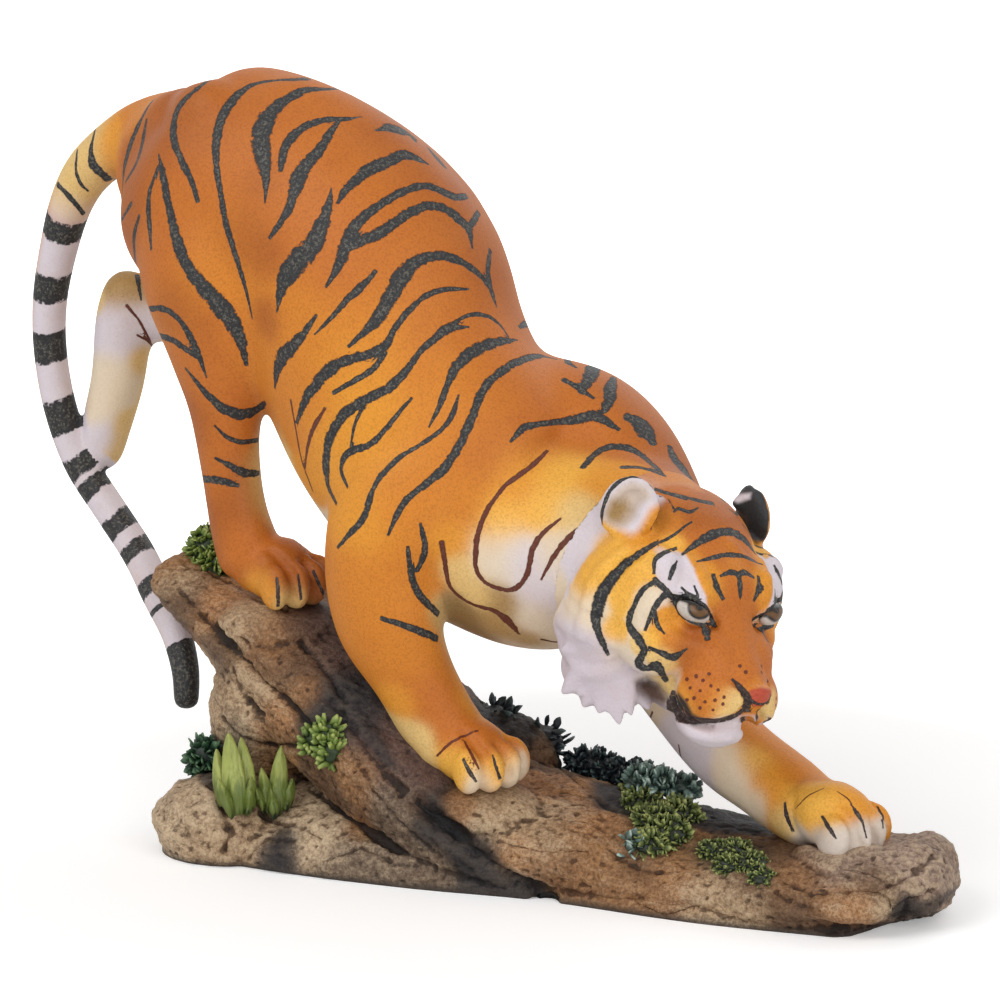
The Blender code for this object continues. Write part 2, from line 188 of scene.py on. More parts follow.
# Tail centre line
TAIL = (
    (-138, 12, 211),
    (-153, 14, 215),
    (-167, 15, 210),
    (-183, 18, 199),
    (-192, 20, 187),
    (-199, 23, 171),
    (-203, 24, 155),
    (-204, 25, 139),
    (-201, 25, 121),
    (-194, 25, 103),
    (-182, 22, 90),
    (-168, 17, 77),
    (-156, 9, 66),
    (-147, 4, 56),
    (-141, -1, 46),
    (-139, -4, 37),
)


def curve_rows(rows, steps):
    """Rows of numbers along a smooth curve through the given rows."""
    rows = np.array(rows, float)
    first = 2 * rows[0] - rows[1]
    last = 2 * rows[-1] - rows[-2]
    padded = np.vstack((first, rows, last))
    out = []
    for i in range(len(rows) - 1):
        p0, p1, p2, p3 = padded[i:i + 4]
        for k in range(steps):
            t = k / steps
            out.append(0.5 * (2 * p1 + (p2 - p0) * t + (2 * p0 - 5 * p1 + 4 * p2 - p3) * t * t
                              + (3 * p1 - p0 - 3 * p2 + p3) * t ** 3))
    out.append(rows[-1])
    return np.array(out)


def add_loft(bm, rows, across=SIDE, steps=4, around=24, dome=0.75):
    """A closed skin through oval sections, with a rounded cap at each end."""
    rows = curve_rows(rows, steps)
    middles = [Vector(row[:3]) for row in rows]
    rings = []
    count = len(rows)
    frames = []
    for i in range(count):
        along = (middles[min(i + 1, count - 1)] - middles[max(i - 1, 0)]).normalized()
        side = (across - along * across.dot(along)).normalized()
        frames.append((along, side, along.cross(side)))

    def ring(middle, frame, width, depth):
        loop = []
        for k in range(around):
            a = 2 * math.pi * k / around
            point = middle + frame[1] * (width * math.cos(a)) + frame[2] * (depth * math.sin(a))
            loop.append(bm.verts.new(point * MM))
        return loop

    for end, sign in ((0, -1), (count - 1, 1)):
        reach = dome * min(rows[end][3], rows[end][4])
        caps = []
        for degrees in (75, 52, 27):
            a = math.radians(degrees)
            middle = middles[end] + frames[end][0] * (sign * reach * math.sin(a))
            caps.append((middle, frames[end], rows[end][3] * math.cos(a), rows[end][4] * math.cos(a)))
        if sign < 0:
            start_pole = middles[0] - frames[0][0] * reach
            start_caps = caps
        else:
            end_pole = middles[-1] + frames[-1][0] * reach
            end_caps = caps[::-1]
    sections = list(start_caps)
    sections += [(middles[i], frames[i], rows[i][3], rows[i][4]) for i in range(count)]
    sections += list(end_caps)
    for middle, frame, width, depth in sections:
        rings.append(ring(middle, frame, width, depth))
    for a, b in zip(rings, rings[1:]):
        for k in range(around):
            n = (k + 1) % around
            bm.faces.new((a[k], a[n], b[n], b[k]))
    first = bm.verts.new(start_pole * MM)
    last = bm.verts.new(end_pole * MM)
    for k in range(around):
        n = (k + 1) % around
        bm.faces.new((first, rings[0][n], rings[0][k]))
        bm.faces.new((last, rings[-1][k], rings[-1][n]))


def add_egg(bm, place, middle, half, turn=(0.0, 0.0, 0.0), segments=24):
    """An ellipsoid given by its middle and half sizes, turned in degrees, in the frame of place."""
    angles = Euler([math.radians(a) for a in turn], "XYZ")
    shape = Matrix.LocRotScale(Vector(middle) * MM, angles, Vector(half) * MM)
    bmesh.ops.create_uvsphere(bm, u_segments=segments, v_segments=segments // 2 + 2, radius=1.0,
                              matrix=place @ shape)


def add_paw(bm, sole, heading, tilt=0.0):
    """A paw that stands on sole: a pad, a broad toe row of four toes and the rise to the wrist."""
    turn = Euler((0.0, math.radians(tilt), math.radians(heading)), "XYZ")
    place = Matrix.LocRotScale(sole * MM, turn, None)
    half_height = PAW_HEIGHT / 2
    add_egg(bm, place, (0, 0, half_height - SINK + 1),
            (PAW_LENGTH * 0.36, PAW_WIDTH * 0.45, half_height * 1.08))
    add_egg(bm, place, (-PAW_LENGTH * 0.22, 0, half_height),
            (PAW_LENGTH * 0.25, PAW_WIDTH * 0.42, half_height))
    for spread, reach in ((-0.36, 0.22), (-0.13, 0.31), (0.13, 0.31), (0.36, 0.22)):
        toe = (PAW_LENGTH * reach, PAW_WIDTH * spread, half_height * 0.80 - SINK)
        add_egg(bm, place, toe, (PAW_LENGTH * 0.20, PAW_WIDTH * 0.155, half_height * 0.80),
                (0, 0, spread * 40))


def head_place():
    """The frame of the head: X to the nose, Y to the left ear, Z to the crown."""
    turn = Euler([math.radians(a) for a in (HEAD_ROLL, HEAD_PITCH, HEAD_YAW)], "XYZ")
    return Matrix.LocRotScale(HEAD_AT * MM, turn, Vector((HEAD_SIZE, HEAD_SIZE, HEAD_SIZE)))


# The ears in the frame of the head: middle in mm and where each opens to, and the half sizes in metres
EAR_AT = {-1: (-9.2, -23.4, 26.6), 1: (-9.2, 23.4, 26.6)}
EAR_OPENING = {-1: (0.42, -0.86, 0.25), 1: (0.16, 0.92, 0.25)}
EAR_HALF = (0.0102, 0.0096, 0.0032)


def add_ear(bm, place, side):
    """A round, thin ear that leans back and opens forwards and outwards."""
    turn = Vector(EAR_OPENING[side]).to_track_quat("Z", "X").to_matrix().to_4x4()
    shape = Matrix.Translation(Vector(EAR_AT[side]) * MM) @ turn @ Matrix.Diagonal(EAR_HALF + (1.0,))
    bmesh.ops.create_uvsphere(bm, u_segments=24, v_segments=14, radius=1.0, matrix=place @ shape)


def add_head(bm):
    """Skull, muzzle, cheeks, ruff and ears."""
    place = head_place()
    across = (place.to_3x3() @ Vector((0, 1, 0))).normalized()
    add_egg(bm, place, (-7, 0, 9), (24, 23, 23.5))
    add_egg(bm, place, (4, 0, 8), (19, 23.5, 17.5))
    add_egg(bm, place, (41.6, 0, -4.4), (3.8, 5.8, 3.8))
    add_egg(bm, place, (29, 0, -20.8), (10, 10, 6.2), (0, -4, 0))
    add_egg(bm, place, (10, 0, -14), (20, 14, 11))

    def placed(rows):
        return [tuple(place @ (Vector(row[:3]) * MM) / MM) + tuple(row[3:]) for row in rows]

    nose_rows = ((14, 0, 7, 12, 10), (25, 0, 0, 8.8, 8), (34, 0, -4.2, 7.4, 6.8), (39, 0, -6, 6, 5.4))
    add_loft(bm, placed(nose_rows), across=across)
    for side in (-1, 1):
        add_egg(bm, place, (31.5, 7.2 * side, -9.6), (11, 8.4, 8.2), (0, 6, -6 * side))
        add_egg(bm, place, (24, 6.5 * side, -1), (12, 8, 8), (0, 24, -8 * side))
        add_egg(bm, place, (12.5, 11 * side, 14.0), (9.5, 8.0, 6.0), (0, 22, 14 * side))
        add_egg(bm, place, (19.4, 12.6 * side, 9.0), (4.2, 4.2, 4.0))
        add_egg(bm, place, (11, 16 * side, -3), (13, 9, 11), (0, 0, -14 * side))
        add_egg(bm, place, (5, 19 * side, 6), (13, 8, 16), (0, 0, -4 * side))
        add_loft(bm, placed((
            (-3, 19 * side, 16, 7, 9), (-5, 21.5 * side, 4, 8, 12), (-6, 21 * side, -10, 9, 14),
            (-1, 18.5 * side, -19.5, 8.5, 12), (7, 13 * side, -23, 7, 9),
        )), across=across)
        add_ear(bm, place, side)


def build_tiger():
    bm = bmesh.new()
    add_loft(bm, TRUNK, around=32)
    add_loft(bm, CREST)
    for rows in (RIGHT_THIGH, RIGHT_ARM, LEFT_ARM, LEFT_THIGH, LEFT_SHANK, LEFT_FOOT):
        add_loft(bm, rows)
    add_paw(bm, HIND_PAW, HEADING - 6)
    add_paw(bm, FRONT_PAW, HEADING - 8)
    add_paw(bm, REACHING_PAW, HEADING - 4, 6)
    here = Matrix.Identity(4)
    add_egg(bm, here, (-188, 30, 107), (8, 8, 7))
    count = len(TAIL)
    rows = []
    for i, point in enumerate(TAIL):
        near = max(0.0, 1.0 - max(0, i - 1) / 6.0) ** 1.8
        far = max(0.0, (i - count + 4) / 3.0)
        radius = TAIL_RADIUS + (TAIL_ROOT_RADIUS - TAIL_RADIUS) * near + (TAIL_TIP_RADIUS - TAIL_RADIUS) * far
        rows.append(point + (radius, radius))
    add_loft(bm, rows, around=20)
    add_head(bm)
    return bm


# Plant clumps on the rock: middle and half sizes
CLUMPS = (
    (-139, 8, 87, 8, 8, 7),
    (-107, -34, 27, 8, 7, 12),
    (-93, -36, 26, 7, 7, 12),
    (-119, -28, 26, 6, 6, 7),
    (-79, -33, 39, 7, 6, 6),
    (-38, 9, 38, 8, 6, 6),
    (-24, 12, 33, 8, 6, 6),
    (-8, 14, 27, 8, 6, 5),
    (4, 15, 25, 9, 6, 5),
    (26, -12, 23, 10, 9, 10),
    (54, -24, 17, 11, 8, 6),
    (34, 12, 20, 10, 7, 6),
)


def build_rock():
    bm = bmesh.new()
    here = Matrix.Identity(4)
    deep = Vector((0, 1, 0))
    add_loft(bm, (
        (HIND_PAW.x - 40, 3, HIND_PAW.z - 1, 20, 9),
        (HIND_PAW.x - 14, -1, HIND_PAW.z - 14, 26, 15),
        (HIND_PAW.x + 10, -5, HIND_PAW.z - 25, 31, 22),
        (-60, -9, 33, 36, 23),
        (FRONT_PAW.x, -10, FRONT_PAW.z - 17, 37, 18),
        (14, -8, 9, 32, 15),
        (50, -8, 7, 30, 13),
        (REACHING_PAW.x, -9, REACHING_PAW.z - 13, 31, 13),
        (ROCK_RIGHT - 9, -4, 13, 22, 11.2),
    ), across=deep, around=32)
    add_loft(bm, (
        (ROCK_LEFT + 22, -13, 4, 35, 14),
        (-80, -13, 4, 36, 16),
        (-40, -11, 2, 35, 16),
        (0, -9, 0, 31, 14),
        (50, -9, -2, 32, 12),
        (92, -9, -2, 27, 11),
    ), across=deep, around=32)
    add_egg(bm, here, (ROCK_LEFT + 21, -36, 8), (22, 18, 16))
    add_egg(bm, here, (HIND_PAW.x - 1, -8, HIND_PAW.z - 32), (22.5, 25, 32), (0, 14, 0))
    add_egg(bm, here, (-36, 8, 29), (20, 13, 14), (0, 10, 0))
    for sole in (FRONT_PAW, REACHING_PAW, HIND_PAW):
        add_egg(bm, here, (sole.x, sole.y, sole.z - 9), (PAW_LENGTH * 0.68, PAW_WIDTH * 0.68, 9))
    return bm


def keep_main_body(mesh):
    """Drops crumbs that an overlap of skins leaves beside the main body or inside it."""
    bm = bmesh.new()
    bm.from_mesh(mesh)
    left = set(bm.verts)
    bodies = []
    while left:
        body = {left.pop()}
        waiting = list(body)
        while waiting:
            for edge in waiting.pop().link_edges:
                for vert in edge.verts:
                    if vert in left:
                        left.remove(vert)
                        body.add(vert)
                        waiting.append(vert)
        bodies.append(body)
    bodies.sort(key=len)
    crumbs = [vert for body in bodies[:-1] for vert in body]
    bmesh.ops.delete(bm, geom=crumbs, context="VERTS")
    bm.to_mesh(mesh)
    bm.free()


def vertex_arrays(mesh):
    count = len(mesh.vertices)
    points = np.empty(count * 3)
    mesh.vertices.foreach_get("co", points)
    normals = np.empty(count * 3)
    mesh.vertices.foreach_get("normal", normals)
    return points.reshape(-1, 3) / MM, normals.reshape(-1, 3)


def lengths(rows):
    return np.linalg.norm(rows, axis=1)


def dots(rows, others):
    """The dot product of each row with the row beside it."""
    return np.einsum("nk,nk->n", rows, others)


def set_points(mesh, points):
    mesh.vertices.foreach_set("co", (points * MM).ravel())
    mesh.update()


def keep_values(mesh, name, values):
    """Stores a number for each point, or a colour where the values have three columns."""
    if values.ndim == 2:
        layer = mesh.attributes.new(name, "FLOAT_COLOR", "POINT")
        layer.data.foreach_set("color", np.column_stack((values, np.ones(len(values)))).ravel())
    else:
        layer = mesh.attributes.new(name, "FLOAT", "POINT")
        layer.data.foreach_set("value", values.astype(np.float32))


def surface_tree(mesh):
    return BVHTree.FromPolygons([v.co for v in mesh.vertices], [p.vertices for p in mesh.polygons])


def mesh_from(bm, name):
    """A mesh of what bm holds; bm is freed."""
    mesh = bpy.data.meshes.new(name)
    bm.to_mesh(mesh)
    bm.free()
    return mesh


def distance_to_path(points, path):
    """Distance of each point to a chain of straight runs."""
    best = np.full(len(points), 1e9)
    path = np.array(path, float)
    for a, b in zip(path, path[1:]):
        run = b - a
        t = np.clip(((points - a) @ run) / (run @ run), 0, 1)
        best = np.minimum(best, lengths(points - (a + t[:, None] * run)))
    return best


def press(mesh, path, radius, depth):
    """A groove of the given depth along a path; a negative depth raises a ridge."""
    points, normals = vertex_arrays(mesh)
    near = np.clip(1 - (distance_to_path(points, path) / radius) ** 2, 0, 1) ** 2
    set_points(mesh, points - normals * (depth * near)[:, None])


# Stripes on the near side of the body: rows of x, y and full width in pixels of the photograph
BODY_STRIPES = (
    ((322, 76, 3), (303, 79, 8), (280, 80, 5), (255, 84, 6), (240, 93, 8), (230, 104, 9), (222, 117, 10),
     (217, 138, 9), (216, 160, 7), (220, 190, 6), (227, 227, 7), (237, 260, 6), (246, 290, 4),
     (252, 317, 1.5)),
    ((337, 89, 3), (322, 89, 7), (305, 90, 10), (289, 98, 12), (275, 108, 15), (265, 121, 19),
     (261, 137, 20), (262, 153, 17), (265, 171, 11), (266, 186, 6), (265, 201, 2)),
    ((360, 117, 1.5), (346, 119, 5), (325, 120, 8), (306, 126, 9), (292, 137, 10), (284, 152, 9),
     (281, 168, 5)),
    ((338, 123, 3), (331, 131, 8), (321, 148, 10), (308, 163, 13), (298, 178, 16), (294, 194, 12),
     (288, 210, 9), (280, 223, 7), (271, 236, 4)),
    ((357, 92, 3), (366, 97, 12), (378, 103, 13), (392, 111, 3)),
    ((378, 130, 3), (388, 128, 12), (400, 130, 17), (411, 136, 10), (415, 141, 3)),
    ((430, 150, 6), (436, 157, 12), (443, 165, 8)),
    ((339, 201, 3), (348, 187, 9), (366, 172, 12), (388, 161, 13), (403, 155, 12), (416, 158, 9),
     (426, 163, 3)),
    ((327, 285, 3), (337, 268, 8), (347, 245, 14), (355, 227, 12), (370, 212, 9), (392, 197, 8),
     (410, 189, 8), (425, 186, 8), (440, 190, 8), (455, 197, 8), (466, 196, 6)),
    ((350, 248, 8), (363, 240, 10), (380, 233, 11), (395, 222, 10), (415, 210, 9), (430, 206, 9),
     (446, 209, 9), (459, 219, 10), (469, 230, 9), (472, 246, 3)),
    ((468, 228, 5), (473, 222, 7), (478, 213, 6)),
    ((490, 252, 5), (488, 271, 7), (491, 290, 6), (496, 305, 2)),
    ((350, 345, 3), (364, 332, 7), (378, 318, 11), (389, 300, 14), (401, 278, 15), (415, 263, 13),
     (433, 256, 9), (455, 259, 8), (470, 267, 7), (482, 277, 6), (491, 290, 5), (496, 304, 2)),
    ((331, 190, 1.5), (329, 203, 7), (322, 224, 14), (313, 243, 20), (299, 260, 23), (287, 275, 20),
     (281, 290, 12), (277, 310, 2)),
    ((316, 333, 2), (330, 319, 4), (347, 300, 6), (365, 283, 7), (374, 273, 4)),
    ((315, 317, 3), (305, 332, 8), (293, 346, 12), (282, 357, 15), (277, 371, 10), (275, 386, 3)),
    ((297, 422, 4), (305, 401, 9), (317, 383, 11), (332, 368, 12), (350, 359, 9), (370, 354, 9),
     (385, 346, 8), (393, 332, 6), (405, 315, 6), (423, 298, 5), (442, 290, 5), (467, 289, 2)),
    ((335, 392, 4), (354, 381, 5), (372, 370, 6), (384, 354, 5)),
    ((336, 503, 3), (328, 485, 8), (326, 462, 10), (329, 441, 10), (338, 422, 10), (353, 407, 10),
     (371, 397, 9), (390, 387, 9), (405, 372, 7), (420, 352, 6), (435, 338, 7), (450, 328, 9),
     (467, 327, 2)),
    ((453, 323, 3), (470, 315, 4), (487, 316, 4), (500, 325, 3), (508, 336, 2)),
    ((430, 425, 2), (440, 405, 5), (447, 386, 6), (455, 369, 9), (467, 356, 11), (482, 347, 11),
     (500, 341, 9), (516, 340, 2)),
    ((458, 397, 2), (452, 415, 5), (441, 430, 4), (420, 445, 4), (400, 457, 5), (385, 471, 6),
     (376, 483, 5), (370, 498, 6), (364, 517, 7), (352, 531, 6), (339, 546, 4)),
    ((555, 359, 2), (538, 356, 6), (517, 362, 8), (498, 374, 8), (483, 390, 8), (475, 410, 8),
     (467, 430, 8), (456, 451, 8), (443, 469, 8), (428, 482, 7), (414, 493, 6), (404, 503, 6),
     (396, 517, 5), (389, 533, 3)),
    ((410, 400, 3), (397, 415, 4), (385, 430, 5), (369, 445, 6), (348, 453, 7), (341, 469, 5),
     (347, 486, 3)),
    ((362, 408, 4), (355, 424, 3), (351, 443, 2)),
    ((512, 440, 3), (524, 428, 7), (540, 424, 5), (558, 422, 6), (575, 420, 9), (592, 416, 11),
     (606, 421, 8), (617, 428, 4)),
    ((584, 466, 6), (594, 455, 7), (607, 448, 8), (623, 447, 8), (638, 453, 8), (652, 464, 7),
     (664, 475, 3)),
    ((625, 467, 7), (643, 468, 6), (662, 475, 3)),
    ((421, 526, 3), (425, 544, 6), (423, 558, 6), (418, 569, 4)),
    ((408, 549, 3), (411, 573, 6), (416, 589, 7), (424, 600, 7), (437, 613, 6)),
    ((384, 619, 5), (403, 625, 6), (419, 631, 7), (436, 638, 6)),
    ((195, 90, 6), (181, 104, 8), (174, 121, 9), (174, 140, 8), (182, 162, 7), (192, 182, 6),
     (197, 199, 5)),
    ((195, 90, 6), (209, 80, 5), (229, 69, 3)),
    ((159, 156, 2), (163, 176, 8), (169, 208, 9), (176, 238, 12), (187, 266, 12), (205, 290, 15),
     (224, 311, 17), (239, 335, 13), (246, 363, 4)),
    ((157, 170, 3), (149, 195, 5), (149, 220, 7), (151, 247, 4)),
    ((160, 90, 4), (145, 112, 6), (133, 138, 7), (125, 164, 7), (122, 196, 3)),
    ((146, 122, 4), (142, 145, 6), (136, 164, 8), (126, 181, 4)),
    ((139, 217, 3), (134, 238, 6), (136, 266, 6), (141, 298, 2)),
    ((131, 204, 4), (121, 221, 3)),
    ((150, 309, 5), (164, 309, 6), (180, 321, 6), (195, 346, 8), (206, 376, 2)),
    ((161, 336, 6), (174, 341, 7), (187, 350, 7), (198, 358, 4)),
    ((187, 370, 3), (204, 391, 7), (221, 407, 9), (240, 414, 11), (255, 411, 10), (265, 403, 5)),
    ((216, 427, 2), (227, 437, 4), (241, 442, 5), (257, 440, 4)),
    ((217, 459, 3), (231, 466, 6), (244, 473, 8), (258, 473, 5)),
    ((205, 479, 7), (221, 481, 9), (236, 485, 4)),
    ((95, 130, 3), (91, 150, 6), (94, 166, 11), (108, 179, 8)),
    ((77, 152, 3), (76, 170, 4), (81, 184, 4), (87, 190, 2)),
    ((58, 185, 5), (70, 197, 6), (83, 213, 4)),
    ((596, 362, 9), (592, 372, 14), (586, 384, 10), (581, 391, 4)),
    ((614, 378, 6), (611, 390, 12), (607, 404, 10), (603, 413, 4)),
    ((566, 381, 6), (579, 388, 6), (592, 397, 3)),
    ((566, 358, 3), (569, 363, 7), (575, 367, 3)),
    ((520, 327, 4), (526, 324, 7), (533, 324, 3)),
    ((630, 418, 10), (639, 423, 17), (647, 433, 20), (652, 441, 8)),
    ((671, 450, 8), (676, 461, 14), (685, 472, 17), (693, 481, 8)),
    ((660, 491, 2), (679, 495, 3), (696, 500, 5), (710, 503, 6)),
)
BROWN_STROKES = (
    ((546, 452, 4), (533, 465, 6), (518, 476, 6), (506, 485, 5), (496, 497, 5), (486, 512, 6), (479, 530, 6),
     (476, 548, 7), (476, 568, 6), (484, 581, 6), (497, 588, 6), (511, 590, 6), (521, 584, 6), (528, 572, 6),
     (530, 560, 7), (534, 546, 8), (543, 533, 6), (559, 520, 3)),
    ((542, 578, 3), (554, 556, 6), (567, 540, 8), (584, 524, 3)),
    ((442, 544, 6), (445, 563, 6), (449, 584, 5), (459, 596, 5), (474, 605, 5), (494, 611, 8), (508, 621, 13),
     (518, 633, 4)),
    ((324, 410, 4), (313, 429, 6), (307, 450, 4), (305, 473, 2)),
    ((291, 402, 3), (296, 430, 3), (302, 461, 3), (312, 489, 4)),
    ((652, 713, 3), (649, 725, 3), (656, 738, 3)),
    ((679, 747, 3), (681, 757, 3), (686, 764, 2)),
    ((128, 307, 4), (138, 319, 3), (146, 333, 3), (152, 345, 2)),
    ((139, 336, 3), (148, 341, 3), (155, 350, 2)),
    ((544, 640, 5), (556, 642, 4), (566, 640, 3)),
)
TOE_STROKES = (
    ((785, 805, 3), (787, 817, 4), (792, 829, 3)),
    ((823, 818, 3), (829, 828, 4), (835, 837, 2)),
    ((852, 806, 1.5), (857, 813, 3.5), (862, 821, 3), (866, 836, 1.5)),
    ((878, 808, 2), (882, 817, 3), (883, 826, 2)),
    ((464, 761, 3), (469, 771, 4), (475, 780, 3)),
    ((493, 757, 2), (496, 767, 3), (499, 777, 3)),
    ((277, 580, 3), (278, 592, 4), (278, 605, 3)),
    ((298, 577, 3), (300, 587, 3), (301, 597, 3)),
    ((314, 573, 3), (319, 584, 3), (325, 597, 3)),
)
# Brown lines along the creases of the paws: partly brown paint, partly painted shade in the creases.
CREASE_SHADE_STROKES = (
    ((438, 755, 2), (452, 742, 3), (476, 731, 2)),
    ((465, 742, 2), (472, 755, 3), (478, 767, 2)),
    ((796, 808, 1), (808, 796, 1.3), (822, 789, 1)),
    ((838, 792, 1), (848, 799, 1.3), (854, 808, 1)),
)

# Marks of the face, on its near half; the other half repeats them
FACE_STRIPES = (
    ((656, 543, 4), (640, 553, 6), (625, 565, 8), (611, 580, 10), (601, 595, 12), (597, 612, 11),
     (597, 628, 7), (602, 641, 6), (607, 652, 4)),
    ((656, 581, 4), (643, 590, 5), (633, 608, 5), (629, 624, 6), (637, 637, 8), (644, 650, 7),
     (639, 663, 8), (647, 668, 6), (657, 666, 9), (665, 678, 5)),
    ((663, 596, 5), (654, 609, 5), (646, 628, 3)),
    ((655, 613, 3), (657, 624, 5), (663, 632, 2)),
    ((650, 648, 3), (663, 654, 6), (674, 657, 7), (685, 650, 2)),
    ((654, 571, 3), (655, 560, 4), (664, 553, 4), (674, 549, 3)),
    ((656, 581, 5), (664, 588, 6), (672, 597, 5), (678, 601, 4)),
    ((656, 544, 2), (671, 537, 3), (684, 527, 2), (690, 523, 2)),
    ((684, 553, 2.5), (692, 547, 5), (702, 540, 7.5), (714, 534, 9), (726, 532, 6.5), (741, 538, 3.5),
     (754, 547, 2.5), (766, 555, 2)),
    ((699, 561, 1.5), (712, 558, 4), (726, 555, 4), (742, 556, 5.5), (753, 559, 5)),
    ((714, 577, 3.5), (717, 587, 5.5), (722, 597, 3.5)),
    ((723, 575, 3), (731, 572, 5.5), (738, 576, 3.5), (740, 590, 3.5), (742, 604, 2)),
    ((676, 563, 2), (673, 569, 5), (670, 577, 3)),
    ((683, 589, 2), (690, 595, 4), (698, 597, 3), (695, 588, 2)),
    ((700, 622, 3), (705, 628, 8), (707, 636, 6)),
    ((657, 490, 3), (670, 494, 3), (684, 498, 3)),
    ((669, 503, 4), (673, 509, 4)),
    ((680, 509, 3), (690, 512, 3), (696, 509, 2)),
)
EYE_LINES = (
    ((672, 595, 3), (680, 598, 6), (692, 601, 7), (703, 606, 6), (709, 615, 5), (714, 624, 4)),
    ((714, 623, 3), (703, 625, 3), (692, 622, 3), (682, 615, 4), (675, 603, 4)),
)
LIP_BLACK = ((669, 698), (678, 692), (687, 702), (693, 714), (704, 719), (718, 720), (734, 716), (744, 709),
             (746, 711), (732, 719), (708, 723), (694, 725), (678, 720), (670, 710))
LIP_LINES = (
    ((673, 694, 4), (671, 702, 8), (673, 710, 12), (681, 716, 12), (692, 720, 7), (706, 721, 4.5),
     (720, 720, 4), (734, 716, 4), (744, 709, 3)),
    ((734, 681, 3), (742, 690, 6), (747, 699, 8), (747, 707, 7)),
    ((741, 689, 2), (752, 701, 3), (762, 704, 2), (772, 698, 2)),
)
WHISKER_DOTS = (
    (687, 679), (696, 676), (703, 680), (690, 688), (700, 691), (711, 686), (718, 690), (694, 698),
    (705, 702), (715, 700), (723, 704), (700, 708), (713, 710), (687, 700), (709, 674), (724, 697),
    (740, 666), (746, 672),
)
WHITE_BROW = ((656, 560), (664, 553), (676, 551), (686, 555), (693, 567), (699, 582), (706, 596), (708, 611),
              (701, 605), (691, 600), (676, 595), (661, 586), (655, 573))
NOSE_PAD = ((749, 690), (764, 687), (781, 688), (778, 698), (768, 707), (756, 712), (751, 702))
CHIN_WHITE = ((678, 714), (692, 720), (712, 720), (734, 716), (752, 716), (751, 738), (730, 756),
              (706, 756), (686, 744))
MOUTH_GAP = ((636, 682), (648, 678), (660, 684), (670, 700), (664, 706), (650, 702), (640, 694))
EAR_RIM = ((606, 543, 3), (601, 525, 3), (604, 505, 3), (613, 487, 4), (628, 477, 3), (644, 478, 3),
           (655, 487, 5), (660, 494, 3))
EAR_PALE = ((598, 545), (594, 520), (600, 492), (616, 470), (650, 468), (668, 482), (664, 500), (650, 510),
            (640, 528), (620, 548))
EAR_HOLLOW = ((607, 538), (604, 522), (608, 504), (618, 488), (632, 481), (648, 486), (652, 498), (640, 506),
              (634, 520), (618, 534))
EAR_TAN_SHADE = ((606, 528), (605, 512), (612, 500), (626, 500), (630, 510), (622, 522), (612, 530))
FAR_EAR_MARK = ((731, 500), (740, 494), (751, 493), (750, 499), (738, 503))

# Where single tufts and edges are drawn out: pixels from and to, reach in mm
PULLED_EDGES = (
    (574, 680, 563, 692, 2.6), (570, 652, 561, 651, 2.2), (588, 698, 584, 706, 2.0),
    (602, 700, 599, 712, 2.2), (615, 702, 619, 723, 2.3), (628, 700, 631, 714, 1.8),
    (643, 698, 649, 709, 2.0), (594, 706, 593, 703, 1.4), (608, 709, 608, 705, 1.4),
    (636, 705, 636, 701, 1.4), (568, 668, 571, 667, 1.6), (580, 700, 583, 697, 1.4),
    (583, 690, 577, 697, 1.2), (610, 706, 606, 715, 1.1), (624, 706, 626, 716, 1.1),
    (650, 700, 658, 709, 1.4), (750, 490, 747, 496, 2.6), (766, 492, 773, 487, 2.0),
    (741, 503, 733, 503, 2.4),
)
EYE_MIDDLE = (696, 611)
EYE_CORNERS = ((678, 603), (712, 621))
PUPIL = (700, 607)

# Bands round the tail: middle in pixels and length in mm; the last one runs on to the tip
TAIL_BANDS = ((66, 223, 7.4), (53, 284, 8.6), (52, 345, 9.6), (62, 411, 10.4), (83, 463, 7.0), (97, 487, 5.4),
              (122, 523, 6.4), (141, 550, 5.4), (159, 588, 5.0), (165, 608, 1.6))
TAIL_TIP_PIXEL = (175, 646)


def to_pixels(points):
    """Where points in mm are seen in the photograph."""
    rel = points - VIEW_MIDDLE
    scale = PIXELS_PER_MM / (1 - (rel @ VIEW_BACK) / VIEW_DISTANCE)
    across, up = scale * (rel @ VIEW_RIGHT), scale * (rel @ VIEW_UP)
    return np.column_stack((MIDDLE_PIXEL + across, MIDDLE_PIXEL - up))


def seen_at(tree, x, y):
    """Point in mm and normal of the surface behind a pixel, or None."""
    aim = VIEW_MIDDLE + (VIEW_RIGHT * (x - MIDDLE_PIXEL) - VIEW_UP * (y - MIDDLE_PIXEL)) / PIXELS_PER_MM
    ray = Vector(aim - VIEW_EYE).normalized()
    place, normal, _, _ = tree.ray_cast(Vector(VIEW_EYE) * MM, ray)
    return None if place is None else (np.array(place) / MM, np.array(normal))


# The furthest that a mark is measured, in mm or half widths
MARK_REACH = 9.0

# A stroke is broken where its next point on the surface lies further off than this, in mm
LONGEST_STEP = 6.0


def laid_runs(tree, rows, steps=6):
    """A stroke in pixels as runs of point, normal and half width on the surface."""
    runs = []
    run = []
    for x, y, width in curve_rows(rows, steps):
        hit = seen_at(tree, x, y)
        if hit is None or (run and np.linalg.norm(hit[0] - run[-1][:3]) > LONGEST_STEP):
            if len(run) > 1:
                runs.append(np.array(run))
            run = []
        if hit is not None:
            run.append(np.concatenate((hit[0], hit[1], (max(width, 1) / 2 / PIXELS_PER_MM,))))
    if len(run) > 1:
        runs.append(np.array(run))
    return runs


# The spine seen from above: x and y, from the rump to the neck
SPINE = ((-170, 16), (-150, 14), (-107, 8), (-68, 1), (-45, 1), (-27, 4), (5, 5), (28, -8), (45, -22))
SPINE_SIDE = np.array(SIDE)


def beyond_spine(points):
    """How far points lie on the far side of the spine, in mm; negative on the near side."""
    points = np.atleast_2d(points)
    line = np.interp(points[:, 0], [p[0] for p in SPINE], [p[1] for p in SPINE])
    return (points[:, 1] - line) * SPINE_SIDE[1]


